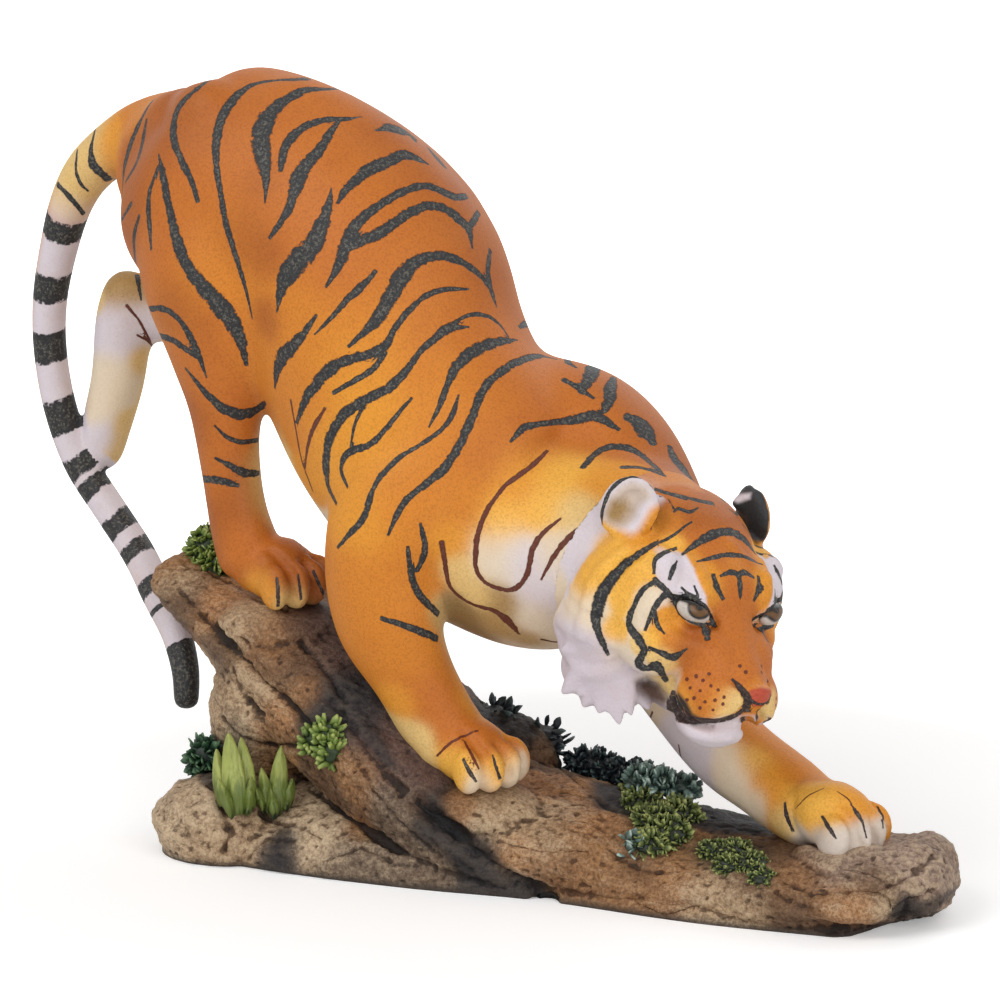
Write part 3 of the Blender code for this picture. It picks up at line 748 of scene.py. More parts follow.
def in_view(tree, point):
    """Whether the photograph shows this point of the surface."""
    seen = seen_at(tree, *to_pixels(point[None])[0])
    return seen is not None and np.linalg.norm(seen[0] - point) < 3


def mirrored_runs(tree, runs, reach=18.0):
    """Runs carried over the spine to the far side, where the photograph shows none of them."""
    out = []
    for run in runs:
        made = []
        for row, beyond in zip(run, beyond_spine(run[:, :3])):
            low = row[2] < 100 and (row[0] < -90 or row[0] > -20)
            place = None
            if beyond < -1.0 and not low:
                hit, normal, _, away = tree.find_nearest(Vector(row[:3] - 2 * beyond * SPINE_SIDE) * MM)
                if hit is not None and away <= reach * MM and not in_view(tree, np.array(hit) / MM):
                    place = np.array(hit) / MM
            if place is None or (made and np.linalg.norm(place - made[-1][:3]) > LONGEST_STEP):
                if len(made) > 1:
                    out.append(np.array(made))
                made = []
            if place is not None:
                made.append(np.concatenate((place, np.array(normal), row[6:])))
        if len(made) > 1:
            out.append(np.array(made))
    return out


def new_marks(size):
    far = np.full(size, MARK_REACH)
    return {"inside": np.full(size, -50.0), "side": far, "gap": far.copy(), "tone": np.zeros(size)}


def set_marks(marks, rows, inside, side, tone):
    """Marks of some points: depth inside the stroke in mm, place across it in half widths, and its tone."""
    marks["inside"][rows] = inside
    marks["side"][rows] = np.clip(side, -MARK_REACH, MARK_REACH)
    marks["gap"][rows] = np.clip(-inside, -MARK_REACH, MARK_REACH)
    marks["tone"][rows] = tone


def add_runs(marks, points, normals, runs, tone=0.0, chosen=None):
    """Signed distances across each run, in half widths, kept where the run is the nearest one."""
    for run in runs:
        place, normal, half = run[:, :3], run[:, 3:6], run[:, 6]
        along = np.gradient(place, axis=0)
        along /= np.maximum(lengths(along), 1e-9)[:, None]
        across = np.cross(normal, along)
        across /= np.maximum(lengths(across), 1e-9)[:, None]
        reach = half.max() + 3
        near = ((points > place.min(0) - reach) & (points < place.max(0) + reach)).all(1)
        if chosen is not None:
            near &= chosen
        near = np.nonzero(near)[0]
        if not len(near):
            continue
        rel = points[near][:, None, :] - place[None]
        away = np.einsum("nmk,nmk->nm", rel, rel)
        j = away.argmin(1)
        rel = rel[np.arange(len(near)), j]
        away = np.sqrt(away[np.arange(len(near)), j])
        offset = dots(rel, across[j])
        depth = dots(rel, normal[j])
        ends = (j == 0) | (j == len(run) - 1)
        away = np.where(ends, away, np.sqrt(offset ** 2 + depth ** 2))
        inside = half[j] - away
        facing = dots(normals[near], normal[j]) > 0.15
        better = facing & (inside > marks["inside"][near]) & (away < reach)
        set_marks(marks, near[better], inside[better], offset[better] / half[j][better], tone)


def tint(red, green, blue):
    """A colour from its 0 to 255 values."""
    return np.array([((c / 255 + 0.055) / 1.055) ** 2.4 for c in (red, green, blue)])


BURNT = tint(168, 92, 30)
ORANGE = tint(190, 108, 36)
AMBER = tint(206, 126, 38)
GOLD = tint(222, 148, 46)
YELLOW = tint(238, 178, 72)
PALE_GOLD = tint(226, 190, 122)
SAND = tint(176, 140, 84)
CREAM = tint(224, 206, 180)
PEARL = tint(214, 204, 210)
RUFF_WHITE = tint(200, 189, 196)
TOE_WHITE = tint(208, 196, 184)
CHARCOAL = tint(44, 44, 46)
EAR_GREY = tint(196, 178, 164)
NOSE_PINK = tint(182, 76, 52)
MOUTH_BROWN = tint(82, 60, 50)
IRIS_BROWN = tint(104, 70, 34)
EYE_WHITE = tint(190, 180, 170)
PUPIL_BLACK = tint(22, 18, 16)

# Airbrushed coat of the near side, with a few spots of painted shade and one of painted light: each colour
# with its spots, x and y in pixels and reach in mm
COAT = (
    (ORANGE, ((255, 85, 14), (320, 95, 14), (240, 150, 14), (320, 150, 14), (380, 200, 14),
     (430, 250, 14), (480, 320, 12), (300, 200, 12), (350, 260, 13), (425, 328, 8), (185, 220, 12),
     (160, 250, 9), (215, 340, 10), (225, 420, 9), (250, 540, 6), (215, 480, 5), (430, 690, 7),
     (460, 735, 5), (490, 745, 5), (500, 380, 11), (560, 400, 11), (600, 430, 10), (540, 440, 9),
     (480, 450, 9))),
    # The burnt spots at x 262 to 266, y 180 to 320, follow the crease between haunch and flank: airbrush
    # there, and painted shade in the crease as well.
    (BURNT, ((390, 125, 12), (440, 190, 12), (490, 270, 12), (200, 110, 14), (150, 140, 10),
     (128, 200, 8), (240, 240, 8), (262, 180, 6), (263, 250, 6), (266, 320, 5), (203, 325, 6),
     (180, 300, 7), (200, 420, 5), (235, 500, 9), (285, 570, 7), (310, 585, 5), (650, 420, 9),
     (620, 390, 9), (690, 470, 8))),
    (AMBER, ((400, 330, 13), (450, 390, 12), (215, 270, 14), (255, 350, 8), (300, 320, 9), (290, 380, 7),
     (310, 400, 8), (298, 430, 5), (350, 340, 10), (430, 440, 11), (400, 500, 10), (350, 590, 10),
     (400, 570, 8), (390, 650, 8), (425, 660, 6), (465, 500, 7), (140, 110, 6), (770, 740, 6),
     (745, 715, 5), (800, 770, 5))),
    (GOLD, ((262, 590, 5), (330, 440, 9), (308, 480, 4), (360, 360, 11), (380, 430, 11), (360, 520, 9),
     (325, 540, 7), (400, 700, 4), (520, 480, 8), (600, 475, 6), (450, 540, 5), (110, 150, 6),
     (770, 790, 4), (850, 795, 6), (868, 805, 4), (762, 775, 4), (775, 798, 4))),
    (PALE_GOLD, ((290, 600, 4), (412, 740, 5), (440, 780, 5), (460, 570, 4), (570, 510, 5), (480, 595, 4),
     (90, 150, 6), (75, 180, 5), (140, 360, 3), (100, 300, 3), (125, 430, 4), (118, 450, 4),
     (780, 815, 3), (790, 824, 3))),
    (YELLOW, ((455, 765, 5), (500, 770, 5), (560, 470, 8), (500, 520, 6), (545, 505, 6), (752, 760, 4),
     (825, 800, 6), (790, 800, 4), (812, 812, 4))),
    (CREAM, ((480, 784, 4), (515, 778, 4), (500, 555, 7), (560, 560, 7), (540, 620, 6), (112, 380, 6),
     (95, 410, 4), (92, 380, 3), (700, 785, 6), (760, 800, 3))),
    (PEARL, ((520, 560, 5), (550, 590, 8), (590, 560, 5), (118, 330, 7), (100, 440, 5), (668, 745, 6),
     (690, 760, 6))),
    # Painted shade: the sand spots low on the chest, from x 462 to 530 and y 602 to 640, and the darker sand
    # among them stand for the shade under the chest.
    (SAND * 0.9, ((500, 602, 5),)),
    (SAND, ((500, 628, 5), (530, 640, 4), (120, 285, 6))),
    (SAND * 0.62, ((462, 618, 6),)),
    (SAND * 0.7, ((480, 634, 5),)),
    # Painted light: a lighter cream on the reaching arm, set against the shadow that the head casts there.
    (CREAM * 1.12, ((735, 775, 6),)),
    (TOE_WHITE, ((803, 836, 3), (820, 841, 3.4), (838, 841, 3.4), (856, 836, 3.4), (870, 831, 3),
     (881, 826, 2.6))),
)

# Coat where the photograph doesn't look: each colour with its spots, point, direction faced and reach in mm
HIDDEN_COAT = (
    (CREAM, (((-60, -3, 92), (0, 0, -1), 14), ((-30, -8, 72), (0, 0, -1), 14),
     ((0, -14, 70), (0, 0, -1), 14), ((-188, 38, 108), (0, 1, 0), 7), ((-120, 6, 150), (0, 0, -1), 9),
     ((26, 4, 84), (0.2, 0.8, -0.6), 10))),
    (PALE_GOLD, (((-90, 4, 128), (0.3, 0, -1), 14), ((-183, 40, 130), (0, 1, 0), 8),
     ((-150, 38, 138), (0, 0, -1), 8), ((-150, 14, 160), (-1, 0, -0.3), 10),
     ((-106, -10, 110), (1, 0.5, 0), 8), ((-118, -4, 130), (0, 1, 0), 9),
     ((-34, -24, 84), (0.3, 0.9, 0), 9))),
    (AMBER, (((-90, 44, 160), (0, 1, -0.2), 12), ((0, 34, 90), (0, 1, 0), 14),
     ((20, 24, 58), (0, 1, 0.3), 10), ((50, 10, 36), (0, 1, 0.4), 10), ((-150, 52, 155), (0, 1, 0), 9),
     ((-112, -4, 100), (0, 1, 0), 8), ((-100, 0, 84), (0, 1, 0), 8), ((20, 14, 105), (0.3, 0.9, 0), 10))),
    (GOLD, (((-20, 36, 60), (0, 1, 0), 12), ((82, -2, 28), (0, 1, 0), 8), ((-172, 44, 155), (0, 1, 0), 8),
     ((-30, -20, 60), (0.5, 0.8, 0), 9), ((-26, -16, 40), (0, 1, 0), 8))),
    (ORANGE, (((-12, 42, 118), (0, 1, 0), 14), ((-140, 56, 175), (0, 1, 0), 12),
     ((-158, 12, 190), (-1, 0, 0), 12), ((10, 20, 145), (0.2, 0.8, 0.6), 10))),
)


def seen_spots(tree, table):
    """Place, normal, reach and colour of the spots that the view sees."""
    for colour, rows in table:
        for x, y, reach in rows:
            hit = seen_at(tree, x, y)
            if hit is not None:
                yield *hit, reach, colour


def coat_colour(points, normals, tree):
    """Soft mixture of the airbrushed colours, painted shade and painted light near each point that face the
    same way.
    """
    spots = []
    for place, normal, reach, colour in seen_spots(tree, COAT):
        spots.append((place, normal, reach, colour))
        beyond = beyond_spine(place)[0]
        if place[0] < 10 and place[2] > 100 and beyond < 0:
            spots.append((place - 2 * beyond * SPINE_SIDE, normal - 2 * (normal @ SPINE_SIDE) * SPINE_SIDE,
                          reach, colour))
    for colour, rows in HIDDEN_COAT:
        for place, normal, reach in rows:
            normal = np.array(normal, float)
            spots.append((np.array(place, float), normal / np.linalg.norm(normal), reach, colour))
    total = np.zeros(len(points))
    mixed = np.zeros((len(points), 3))
    for place, normal, reach, colour in spots:
        away = ((points - place) ** 2).sum(1)
        facing = np.clip(0.35 + 0.65 * (normals @ normal), 0.02, 1)
        weight = facing * (np.exp(-away / reach ** 2) + 1e-4 / (1 + away / reach ** 2) ** 3)
        total += weight
        mixed += weight[:, None] * colour
    return mixed / total[:, None]


def inside_patch(pixels, corners, feather):
    """1 inside a closed outline, 0 outside, with a soft edge feather pixels wide."""
    corners = np.array(corners, float)
    inside = np.zeros(len(pixels), bool)
    away = np.full(len(pixels), 1e9)
    for a, b in zip(corners, np.roll(corners, -1, axis=0)):
        run = b - a
        t = np.clip(((pixels - a) @ run) / (run @ run), 0, 1)
        away = np.minimum(away, lengths(pixels - (a + t[:, None] * run)))
        crosses = (a[1] > pixels[:, 1]) != (b[1] > pixels[:, 1])
        at = a[0] + (pixels[:, 1] - a[1]) * run[0] / (run[1] if run[1] else 1e-9)
        inside ^= crosses & (pixels[:, 0] < at)
    signed = np.where(inside, away, -away)
    t = np.clip(signed / feather * 0.5 + 0.5, 0, 1)
    return t * t * (3 - 2 * t)


def blend(colours, mask, colour):
    colours += (colour - colours) * mask[:, None]


def skin_object(name, mesh):
    thing = bpy.data.objects.new(name, mesh)
    bpy.context.scene.collection.objects.link(thing)
    return thing


def finished_mesh(thing, name):
    """The mesh that a maker object's modifiers give; the maker is removed."""
    bpy.context.view_layer.update()
    depsgraph = bpy.context.evaluated_depsgraph_get()
    mesh = bpy.data.meshes.new_from_object(thing.evaluated_get(depsgraph), preserve_all_data_layers=True,
                                           depsgraph=depsgraph)
    mesh.name = name
    bpy.data.objects.remove(thing, do_unlink=True)
    return mesh


def remeshed(name, bm, voxel):
    """The union of the closed skins in bm as one mesh of even faces."""
    bmesh.ops.recalc_face_normals(bm, faces=bm.faces)
    maker = skin_object(name + "_skins", mesh_from(bm, name + "_skins"))
    remesh = maker.modifiers.new("one skin", "REMESH")
    remesh.mode = "VOXEL"
    remesh.voxel_size = voxel * MM
    mesh = finished_mesh(maker, name)
    keep_main_body(mesh)
    return mesh


def relax(mesh, rounds, weight=1.0, factor=0.5):
    """Evens out a mesh: each point moves towards the middle of its neighbours."""
    points, _ = vertex_arrays(mesh)
    edges = np.empty(len(mesh.edges) * 2, np.int32)
    mesh.edges.foreach_get("vertices", edges)
    a, b = edges[0::2], edges[1::2]
    size = len(points)
    near = np.bincount(a, minlength=size) + np.bincount(b, minlength=size)
    step = factor * np.broadcast_to(weight, (size,)) / np.maximum(near, 1)
    for _ in range(rounds):
        pull = np.empty_like(points)
        for k in range(3):
            column = points[:, k]
            pull[:, k] = np.bincount(a, column[b], size) + np.bincount(b, column[a], size) - near * column
        points += pull * step[:, None]
    set_points(mesh, points)


def broad_weight(points):
    """1 on the trunk and upper legs, where the skin is smooth and broad, and 0 on head, paws and tail."""
    weight = np.ones(len(points))
    for middle, radius in ((HEAD_AT, 36.0), (HIND_PAW, 24.0), (FRONT_PAW, 26.0), (REACHING_PAW, 26.0)):
        away = lengths(points - np.array(middle))
        weight = np.minimum(weight, np.clip((away - radius) / 10, 0, 1))
    return np.minimum(weight, np.clip((distance_to_path(points, TAIL[2:]) - 8) / 6, 0, 1))


def detail_body(mesh):
    for sole, turn in ((HIND_PAW, -6), (FRONT_PAW, -8), (REACHING_PAW, -4)):
        foot = Matrix.LocRotScale(sole, Euler((0, 0, math.radians(HEADING + turn))), None)
        for spread in (-0.25, 0.0, 0.25):
            path = [tuple(foot @ Vector((PAW_LENGTH * a, PAW_WIDTH * spread, PAW_HEIGHT * h)))
                    for a, h in ((0.10, 0.85), (0.34, 0.62), (0.50, 0.10))]
            press(mesh, path, 2.6, 1.6)


# Swellings of the body outline: pixels of the path, reach and height in mm
SWELLINGS = (
    (((168, 108), (180, 102), (192, 100), (204, 98)), 12.0, 3.6),
    (((300, 86), (340, 100), (380, 124), (420, 158), (450, 196)), 13.0, 1.5),
    (((812, 796), (830, 794), (848, 798), (862, 808)), 8.0, 1.8),
    (((794, 800), (790, 815), (794, 830)), 2.6, -1.1),
    (((836, 812), (841, 830), (844, 842)), 1.8, -0.8),
    (((860, 810), (866, 826), (868, 838)), 1.8, -0.8),
)


def raise_body(mesh):
    tree = surface_tree(mesh)
    for rows, reach, height in SWELLINGS:
        press(mesh, [seen_at(tree, x, y)[0] for x, y in rows], reach, -height)


def on_head(*rows):
    place = head_place()
    return [tuple(place @ (Vector(row) * MM) / MM) for row in rows]


def detail_head(mesh):
    for side in (-1, 1):
        press(mesh, on_head((20, 14 * side, -15), (29, 12.5 * side, -17.5), (36, 7 * side, -17.5),
                            (40, 1.5 * side, -14)), 3.2, 2.6)
        ear = Vector(EAR_AT[side])
        opening = Vector(EAR_OPENING[side]).normalized() * 3.2
        press(mesh, on_head(ear + opening - Vector((0, 0, 2)), ear + opening + Vector((0, 0, 2.5))), 7.2, 3.6)
        press(mesh, on_head((21, 7 * side, 6.5), (30, 7.2 * side, 1)), 3.5, 0.9)
    press(mesh, on_head((42.5, 0, -8), (41, 0, -15)), 2.6, 1.4)


# How near a point has to lie to a cutting plane, in metres, to count as on it
CUT_TOLERANCE = 1e-7


def cut_apart(mesh, cuts):
    """Labelled closed pieces of mesh.

    Each cut is a point in mm, a normal, a reach around the point and the label of what lies beyond it."""
    bm = bmesh.new()
    bm.from_mesh(mesh)
    bm.faces.ensure_lookup_table()
    tag = bm.faces.layers.int.new("part_label")
    for point, normal, reach, label in cuts:
        point, normal = Vector(point) * MM, Vector(normal).normalized()
        faces = [f for f in bm.faces if (f.calc_center_median() - point).length < reach * MM]
        geom = list({v for f in faces for v in f.verts}) + list({e for f in faces for e in f.edges}) + faces
        made = bmesh.ops.bisect_plane(bm, geom=geom, dist=CUT_TOLERANCE, plane_co=point, plane_no=normal)
        rim = {e for e in made["geom_cut"] if isinstance(e, bmesh.types.BMEdge)}
        start = min((f for f in bm.faces if (f.calc_center_median() - point).dot(normal) > 0.004),
                    key=lambda f: (f.calc_center_median() - point - normal * 0.02).length)
        seen = {start}
        waiting = [start]
        while waiting:
            face = waiting.pop()
            face[tag] = label
            for edge in face.edges:
                if edge in rim:
                    continue
                for other in edge.link_faces:
                    if other not in seen:
                        seen.add(other)
                        waiting.append(other)
    labels = sorted({f[tag] for f in bm.faces})
    out = {}
    for label in labels:
        piece = bm.copy()
        layer = piece.faces.layers.int["part_label"]
        bmesh.ops.delete(piece, geom=[f for f in piece.faces if f[layer] != label], context="FACES")
        open_edges = [e for e in piece.edges if e.is_boundary]
        filled = bmesh.ops.holes_fill(piece, edges=open_edges, sides=0)["faces"]
        bmesh.ops.triangulate(piece, faces=filled)
        out[label] = bpy.data.meshes.new("piece_%d" % label)
        piece.to_mesh(out[label])
        piece.free()
    bm.free()
    return out


def keep_normals(mesh, name):
    """Stores the present normals, so that a piece cut off later shades as the whole does."""
    _, normals = vertex_arrays(mesh)
    layer = mesh.attributes.new(name, "FLOAT_VECTOR", "POINT")
    layer.data.foreach_set("vector", normals.ravel())


def doubled(mesh, name):
    """The same surface with four faces for each one."""
    maker = skin_object(name + "_maker", mesh)
    fine = maker.modifiers.new("finer", "SUBSURF")
    fine.subdivision_type = "SIMPLE"
    fine.levels = 1
    fine.render_levels = 1
    return finished_mesh(maker, name)


TIGER_VOXEL = 0.965
ROCK_VOXEL = 0.87
NECK_CUT = ((18.0, -18.0, 99.0), (0.83, -0.45, -0.32), 48.0)
WAIST_CUT = ((-78.0, 3.0, 168.0), (-1.0, 0.0, 0.0), 80.0)

whole = remeshed("tiger_skin", build_tiger(), TIGER_VOXEL)
points, _ = vertex_arrays(whole)
relax(whole, 80, broad_weight(points))
relax(whole, 3)
raise_body(whole)
detail_body(whole)
relax(whole, 1)
keep_normals(whole, "whole_normal")
parts = cut_apart(whole, (NECK_CUT + (1,), WAIST_CUT + (2,)))
head_mesh = doubled(parts[1], "tiger_head")
detail_head(head_mesh)


HEAD_FRAME = np.array(head_place())
HEAD_TURN = HEAD_FRAME[:3, :3]


def to_head(points):
    return (points - HEAD_FRAME[:3, 3] / MM) @ np.linalg.inv(HEAD_TURN).T


def from_head(local):
    return local @ HEAD_TURN.T + HEAD_FRAME[:3, 3] / MM


def other_half(points):
    """Points carried to the other side of the face."""
    return from_head(to_head(points) * ACROSS_FACE)


def near_half(points, normals):
    """Every point of the head, and how it faces the view, as if it lay on the near half of the face."""
    local = to_head(points)
    far = local[:, 1] > 0
    folded = np.where(far[:, None], from_head(local * ACROSS_FACE), points)
    turned = normals @ np.linalg.inv(HEAD_TURN).T
    turned[far, 1] *= -1
    turned /= lengths(turned)[:, None]
    sight = np.linalg.inv(HEAD_TURN) @ VIEW_BACK
    return folded, turned @ (sight / np.linalg.norm(sight)), local, turned


# Carving of the face along pixel rows: x and y, then reach and depth in mm; a negative depth raises
FACE_CARVING = (
    (((656, 581), (643, 590), (633, 608), (629, 624), (637, 637), (644, 650), (640, 663), (650, 668)),
     2.4, 0.7),
    (((640, 553), (625, 565), (611, 580), (601, 595), (597, 612), (597, 630), (607, 652)), 2.8, 1.0),
    (((629, 548), (612, 560), (598, 574), (588, 592), (584, 612), (584, 632)), 3.4, -1.0),
    (((658, 562), (672, 557), (688, 560), (700, 574), (710, 592)), 3.4, -1.0),
    (((676, 601), (692, 606), (706, 614), (713, 623)), 3.0, 1.5),
    (((677, 597), (692, 600), (704, 605), (711, 616)), 1.3, -0.9),
    (((678, 612), (690, 622), (702, 625), (711, 623)), 1.2, -0.7),
    (((652, 612), (664, 632), (684, 646), (702, 648)), 4.0, -0.7),
    (((672, 700), (676, 712), (690, 722), (708, 725), (726, 721), (740, 714), (748, 706)), 2.0, 1.9),
    (((676, 704), (690, 714), (708, 717), (726, 713)), 2.0, -0.5),
    (((735, 684), (743, 692), (747, 702)), 1.3, 1.1),
    (((750, 690), (762, 692), (774, 692)), 2.2, -0.5),
    (((645, 686), (654, 690), (663, 698)), 3.2, 3.0),
    (((690, 733), (708, 738), (728, 736)), 3.5, -0.6),
    (((700, 575), (716, 560), (727, 545)), 3.0, -0.5),
    (((606, 520), (612, 503), (624, 490), (640, 488)), 1.2, -0.5),
)


def carve_face(mesh, tree):
    for rows, reach, depth in FACE_CARVING:
        path = [seen_at(tree, x, y) for x, y in rows]
        path = np.array([hit[0] for hit in path if hit is not None])
        press(mesh, path, reach, depth)
        press(mesh, other_half(path), reach, depth)


def pull_edges(mesh, tree):
    """Draws tufts of the ruff and the edges of the far ear out, or in, by pixels of the view."""
    points, _ = vertex_arrays(mesh)
    for x, y, to_x, to_y, reach in PULLED_EDGES:
        root = seen_at(tree, x, y)
        if root is None:
            continue
        move = (VIEW_RIGHT * (to_x - x) - VIEW_UP * (to_y - y)) / PIXELS_PER_MM
        away = ((points - root[0]) ** 2).sum(1)
        points += move * np.exp(-away / reach ** 2)[:, None]
    set_points(mesh, points)


def ruffle(mesh):
    """Tufts of the ruff: streaks that run outwards from the face, deeper towards the throat."""
    points, normals = vertex_arrays(mesh)
    local = to_head(points)
    away = np.hypot(local[:, 1], local[:, 2] - 2)
    round_face = np.arctan2(local[:, 1], -(local[:, 2] - 2))
    on_ruff = np.clip((away - 19) / 6, 0, 1) * np.clip((13 - local[:, 0]) / 8, 0, 1)
    on_ruff *= np.clip((local[:, 0] + 20) / 6, 0, 1) * np.clip((24 - local[:, 2]) / 8, 0, 1)
    lift = np.zeros(len(points))
    for i in np.nonzero(on_ruff > 0.01)[0]:
        turn, out = round_face[i], away[i]
        broad = noise.noise(Vector((turn * 3.2, out * 0.05 + local[i, 0] * 0.05, 3.0)))
        fine = noise.noise(Vector((turn * 11, out * 0.09 + local[i, 0] * 0.09, 8.0)))
        lift[i] = 1.8 * broad + 1.15 * fine
    low = np.clip((6 - local[:, 2]) / 16, 0.35, 1)
    points += normals * (lift * on_ruff * low)[:, None]
    set_points(mesh, points)


DOT_RADIUS = 0.52
EAR_FOOT = 17
ACROSS_FACE = np.array((1.0, -1.0, 1.0))

# Coat of the face, laid over that of the body, in the same form as COAT
FACE_COAT = (
    (YELLOW, ((672, 546, 2.5), (652, 640, 2.2), (622, 600, 3), (616, 630, 3), (640, 570, 4),
     (585, 580, 5), (605, 545, 5), (616, 562, 3.5))),
    (GOLD, ((690, 556, 2.5), (702, 584, 2.5), (708, 572, 2.5), (712, 590, 3), (668, 622, 3),
     (684, 700, 3), (640, 525, 5))),
    (BURNT, ((700, 510, 6), (690, 645, 4))),
    (ORANGE, ((670, 495, 5), (712, 548, 5), (735, 600, 5), (750, 640, 5), (725, 640, 4), (765, 665, 4),
     (735, 665, 4), (700, 665, 4), (700, 690, 4))),
    (AMBER, ((740, 560, 5), (672, 640, 3), (716, 700, 3), (665, 520, 4))),
    (PALE_GOLD, ((662, 660, 3), (728, 706, 3), (660, 682, 3), (640, 645, 2.2))),
    (CREAM, ((648, 676, 3), (642, 604, 2.2), (637, 618, 2.2), (648, 594, 2.2), (620, 655, 4),
     (590, 610, 4), (572, 605, 4), (645, 700, 4))),
    (RUFF_WHITE, ((570, 640, 6), (578, 680, 7), (605, 690, 7), (600, 665, 6), (640, 715, 6),
     (625, 700, 6), (630, 675, 4), (680, 745, 6))),
    (SAND, ((655, 710, 4),)),
)

# Patches of the face and of the near ear: outline, colour and softness of the edge in pixels
FACE_PATCHES = ((WHITE_BROW, PEARL, 1.8), (CHIN_WHITE, PEARL, 4), (MOUTH_GAP, MOUTH_BROWN, 7),
                (NOSE_PAD, NOSE_PINK, 2), (LIP_BLACK, CHARCOAL * 0.8, 2.5))
# In the near ear, the soft tan in the middle of the hollow is painted shade.
EAR_PATCHES = ((EAR_PALE, PEARL, 6), (EAR_HOLLOW, EAR_GREY, 6), (EAR_TAN_SHADE, SAND * 0.75, 9))


def paint_head(points, normals, tree):
    """Coat colours and marks of the head."""
    folded, facing, local, turned = near_half(points, normals)
    colours = coat_colour(points, normals, tree)
    total = np.full(len(points), 1e-5)
    mixed = np.zeros((len(points), 3))
    for place, _, reach, colour in seen_spots(tree, FACE_COAT):
        weight = np.exp(-((folded - place) ** 2).sum(1) / reach ** 2)
        total += weight
        mixed += weight[:, None] * colour
    share = np.clip(total * 8, 0, 1) * np.clip((local[:, 0] + 19) / 6, 0, 1)
    colours += (mixed / total[:, None] - colours) * share[:, None]
    under = np.clip((-local[:, 2] - 16) / 6, 0, 1) * (turned[:, 2] < 0.2)
    blend(colours, under, RUFF_WHITE)
    pixels = to_pixels(folded)
    front = np.clip(facing * 5, 0, 1)
    ear_middle = np.array(EAR_AT[-1]) - (0, 0, 0.2)
    mirrored = local * np.where(local[:, 1:2] > 0, ACROSS_FACE, 1.0)
    from_ear = lengths(mirrored - ear_middle)
    on_ear = (from_ear < 12.5) & (mirrored[:, 2] > EAR_FOOT)
    skin = ~on_ear
    for corners, colour, feather in FACE_PATCHES:
        blend(colours, inside_patch(pixels, corners, feather) * front * skin, colour)
    opening = np.array(EAR_OPENING[-1])
    outward = turned @ (opening / np.linalg.norm(opening))
    tip = np.clip((mirrored[:, 2] - 19) / 3, 0, 1) * on_ear
    blend(colours, tip * np.clip((0.15 - outward) * 5, 0, 1), CHARCOAL)
    near_ear = local[:, 1] < 0
    inner = tip * np.clip((outward + 0.3) * 4, 0, 1) * near_ear
    for corners, colour, feather in EAR_PATCHES:
        blend(colours, inner * inside_patch(pixels, corners, feather), colour)
    far_opening = np.array(EAR_OPENING[1])
    mirror_back = np.where(near_ear[:, None], 1.0, ACROSS_FACE)
    open_side = (turned * mirror_back) @ (far_opening / np.linalg.norm(far_opening))
    blend(colours, tip * ~near_ear * np.clip((0.45 - open_side) * 5, 0, 1), CHARCOAL)
    blend(colours, tip * ~near_ear * np.clip((open_side - 0.5) * 4, 0, 1), EAR_GREY)
    white_mark = inside_patch(to_pixels(points), FAR_EAR_MARK, 2.5)
    blend(colours, white_mark * on_ear * (local[:, 1] > 0), PEARL)
    marks = new_marks(len(points))
    flat = np.column_stack((pixels / PIXELS_PER_MM, np.zeros(len(points))))
    ahead = np.column_stack((np.zeros((len(points), 2)), facing))

    def add(rows, tone, chosen):
        line = curve_rows(rows, 6) if len(rows) > 1 else np.array(rows, float)
        run = np.column_stack((line[:, :2] / PIXELS_PER_MM, np.zeros((len(line), 2)), np.zeros(len(line)),
                               np.ones(len(line)), line[:, 2] / 2 / PIXELS_PER_MM))
        add_runs(marks, flat, ahead, [run], tone, chosen)

    for rows in FACE_STRIPES + EYE_LINES:
        add(rows, 0.0, skin)
    for rows in LIP_LINES:
        add(rows, 0.15, skin)
    for x, y in WHISKER_DOTS:
        away = lengths(pixels - (x, y)) / PIXELS_PER_MM
        rows = np.nonzero((away < 1.5) & (facing > 0.1) & skin & (DOT_RADIUS - away > marks["inside"]))[0]
        set_marks(marks, rows, DOT_RADIUS - away[rows], away[rows] / DOT_RADIUS, 0.9)
    add(EAR_RIM, 0.0, on_ear)
    return colours, marks


def tail_marks(marks, points):
    """Dark bands round the tail, measured along its middle line, and its dark tip."""
    line = curve_rows(TAIL, 12)
    along = np.concatenate(([0], np.cumsum(lengths(np.diff(line, axis=0)))))
    line_pixels = to_pixels(line)
    near = np.nonzero(distance_to_path(points, TAIL[2:]) < 9.5)[0]
    near = near[points[near, 0] < -135]
    j = ((points[near][:, None] - line[None]) ** 2).sum(2).argmin(1)
    tangent = np.gradient(line, axis=0)
    tangent /= lengths(tangent)[:, None]
    rel = points[near] - line[j]
    at = along[j] + dots(rel, tangent[j])
    radius = lengths(rel)
    at += 0.22 * rel[:, 1]
    off_leg = radius < 7.6
    for x, y, length in TAIL_BANDS:
        middle = along[lengths(line_pixels - (x, y)).argmin()]
        offset = (at - middle) / (length / 2)
        inside = (1 - np.abs(offset)) * length / 2
        better = (inside > marks["inside"][near]) & off_leg
        set_marks(marks, near[better], inside[better], offset[better], 0.0)
    start = along[lengths(line_pixels - TAIL_TIP_PIXEL).argmin()]
    tip = (at > start - 1) & off_leg
    rows = near[tip]
    inside = at[tip] - start
    better = inside > marks["inside"][rows]
    set_marks(marks, rows[better], inside[better], np.maximum(1 - inside[better], 0), 0.0)
    first_band = along[lengths(line_pixels - TAIL_BANDS[0][:2]).argmin()]
    return near, at - first_band, rel


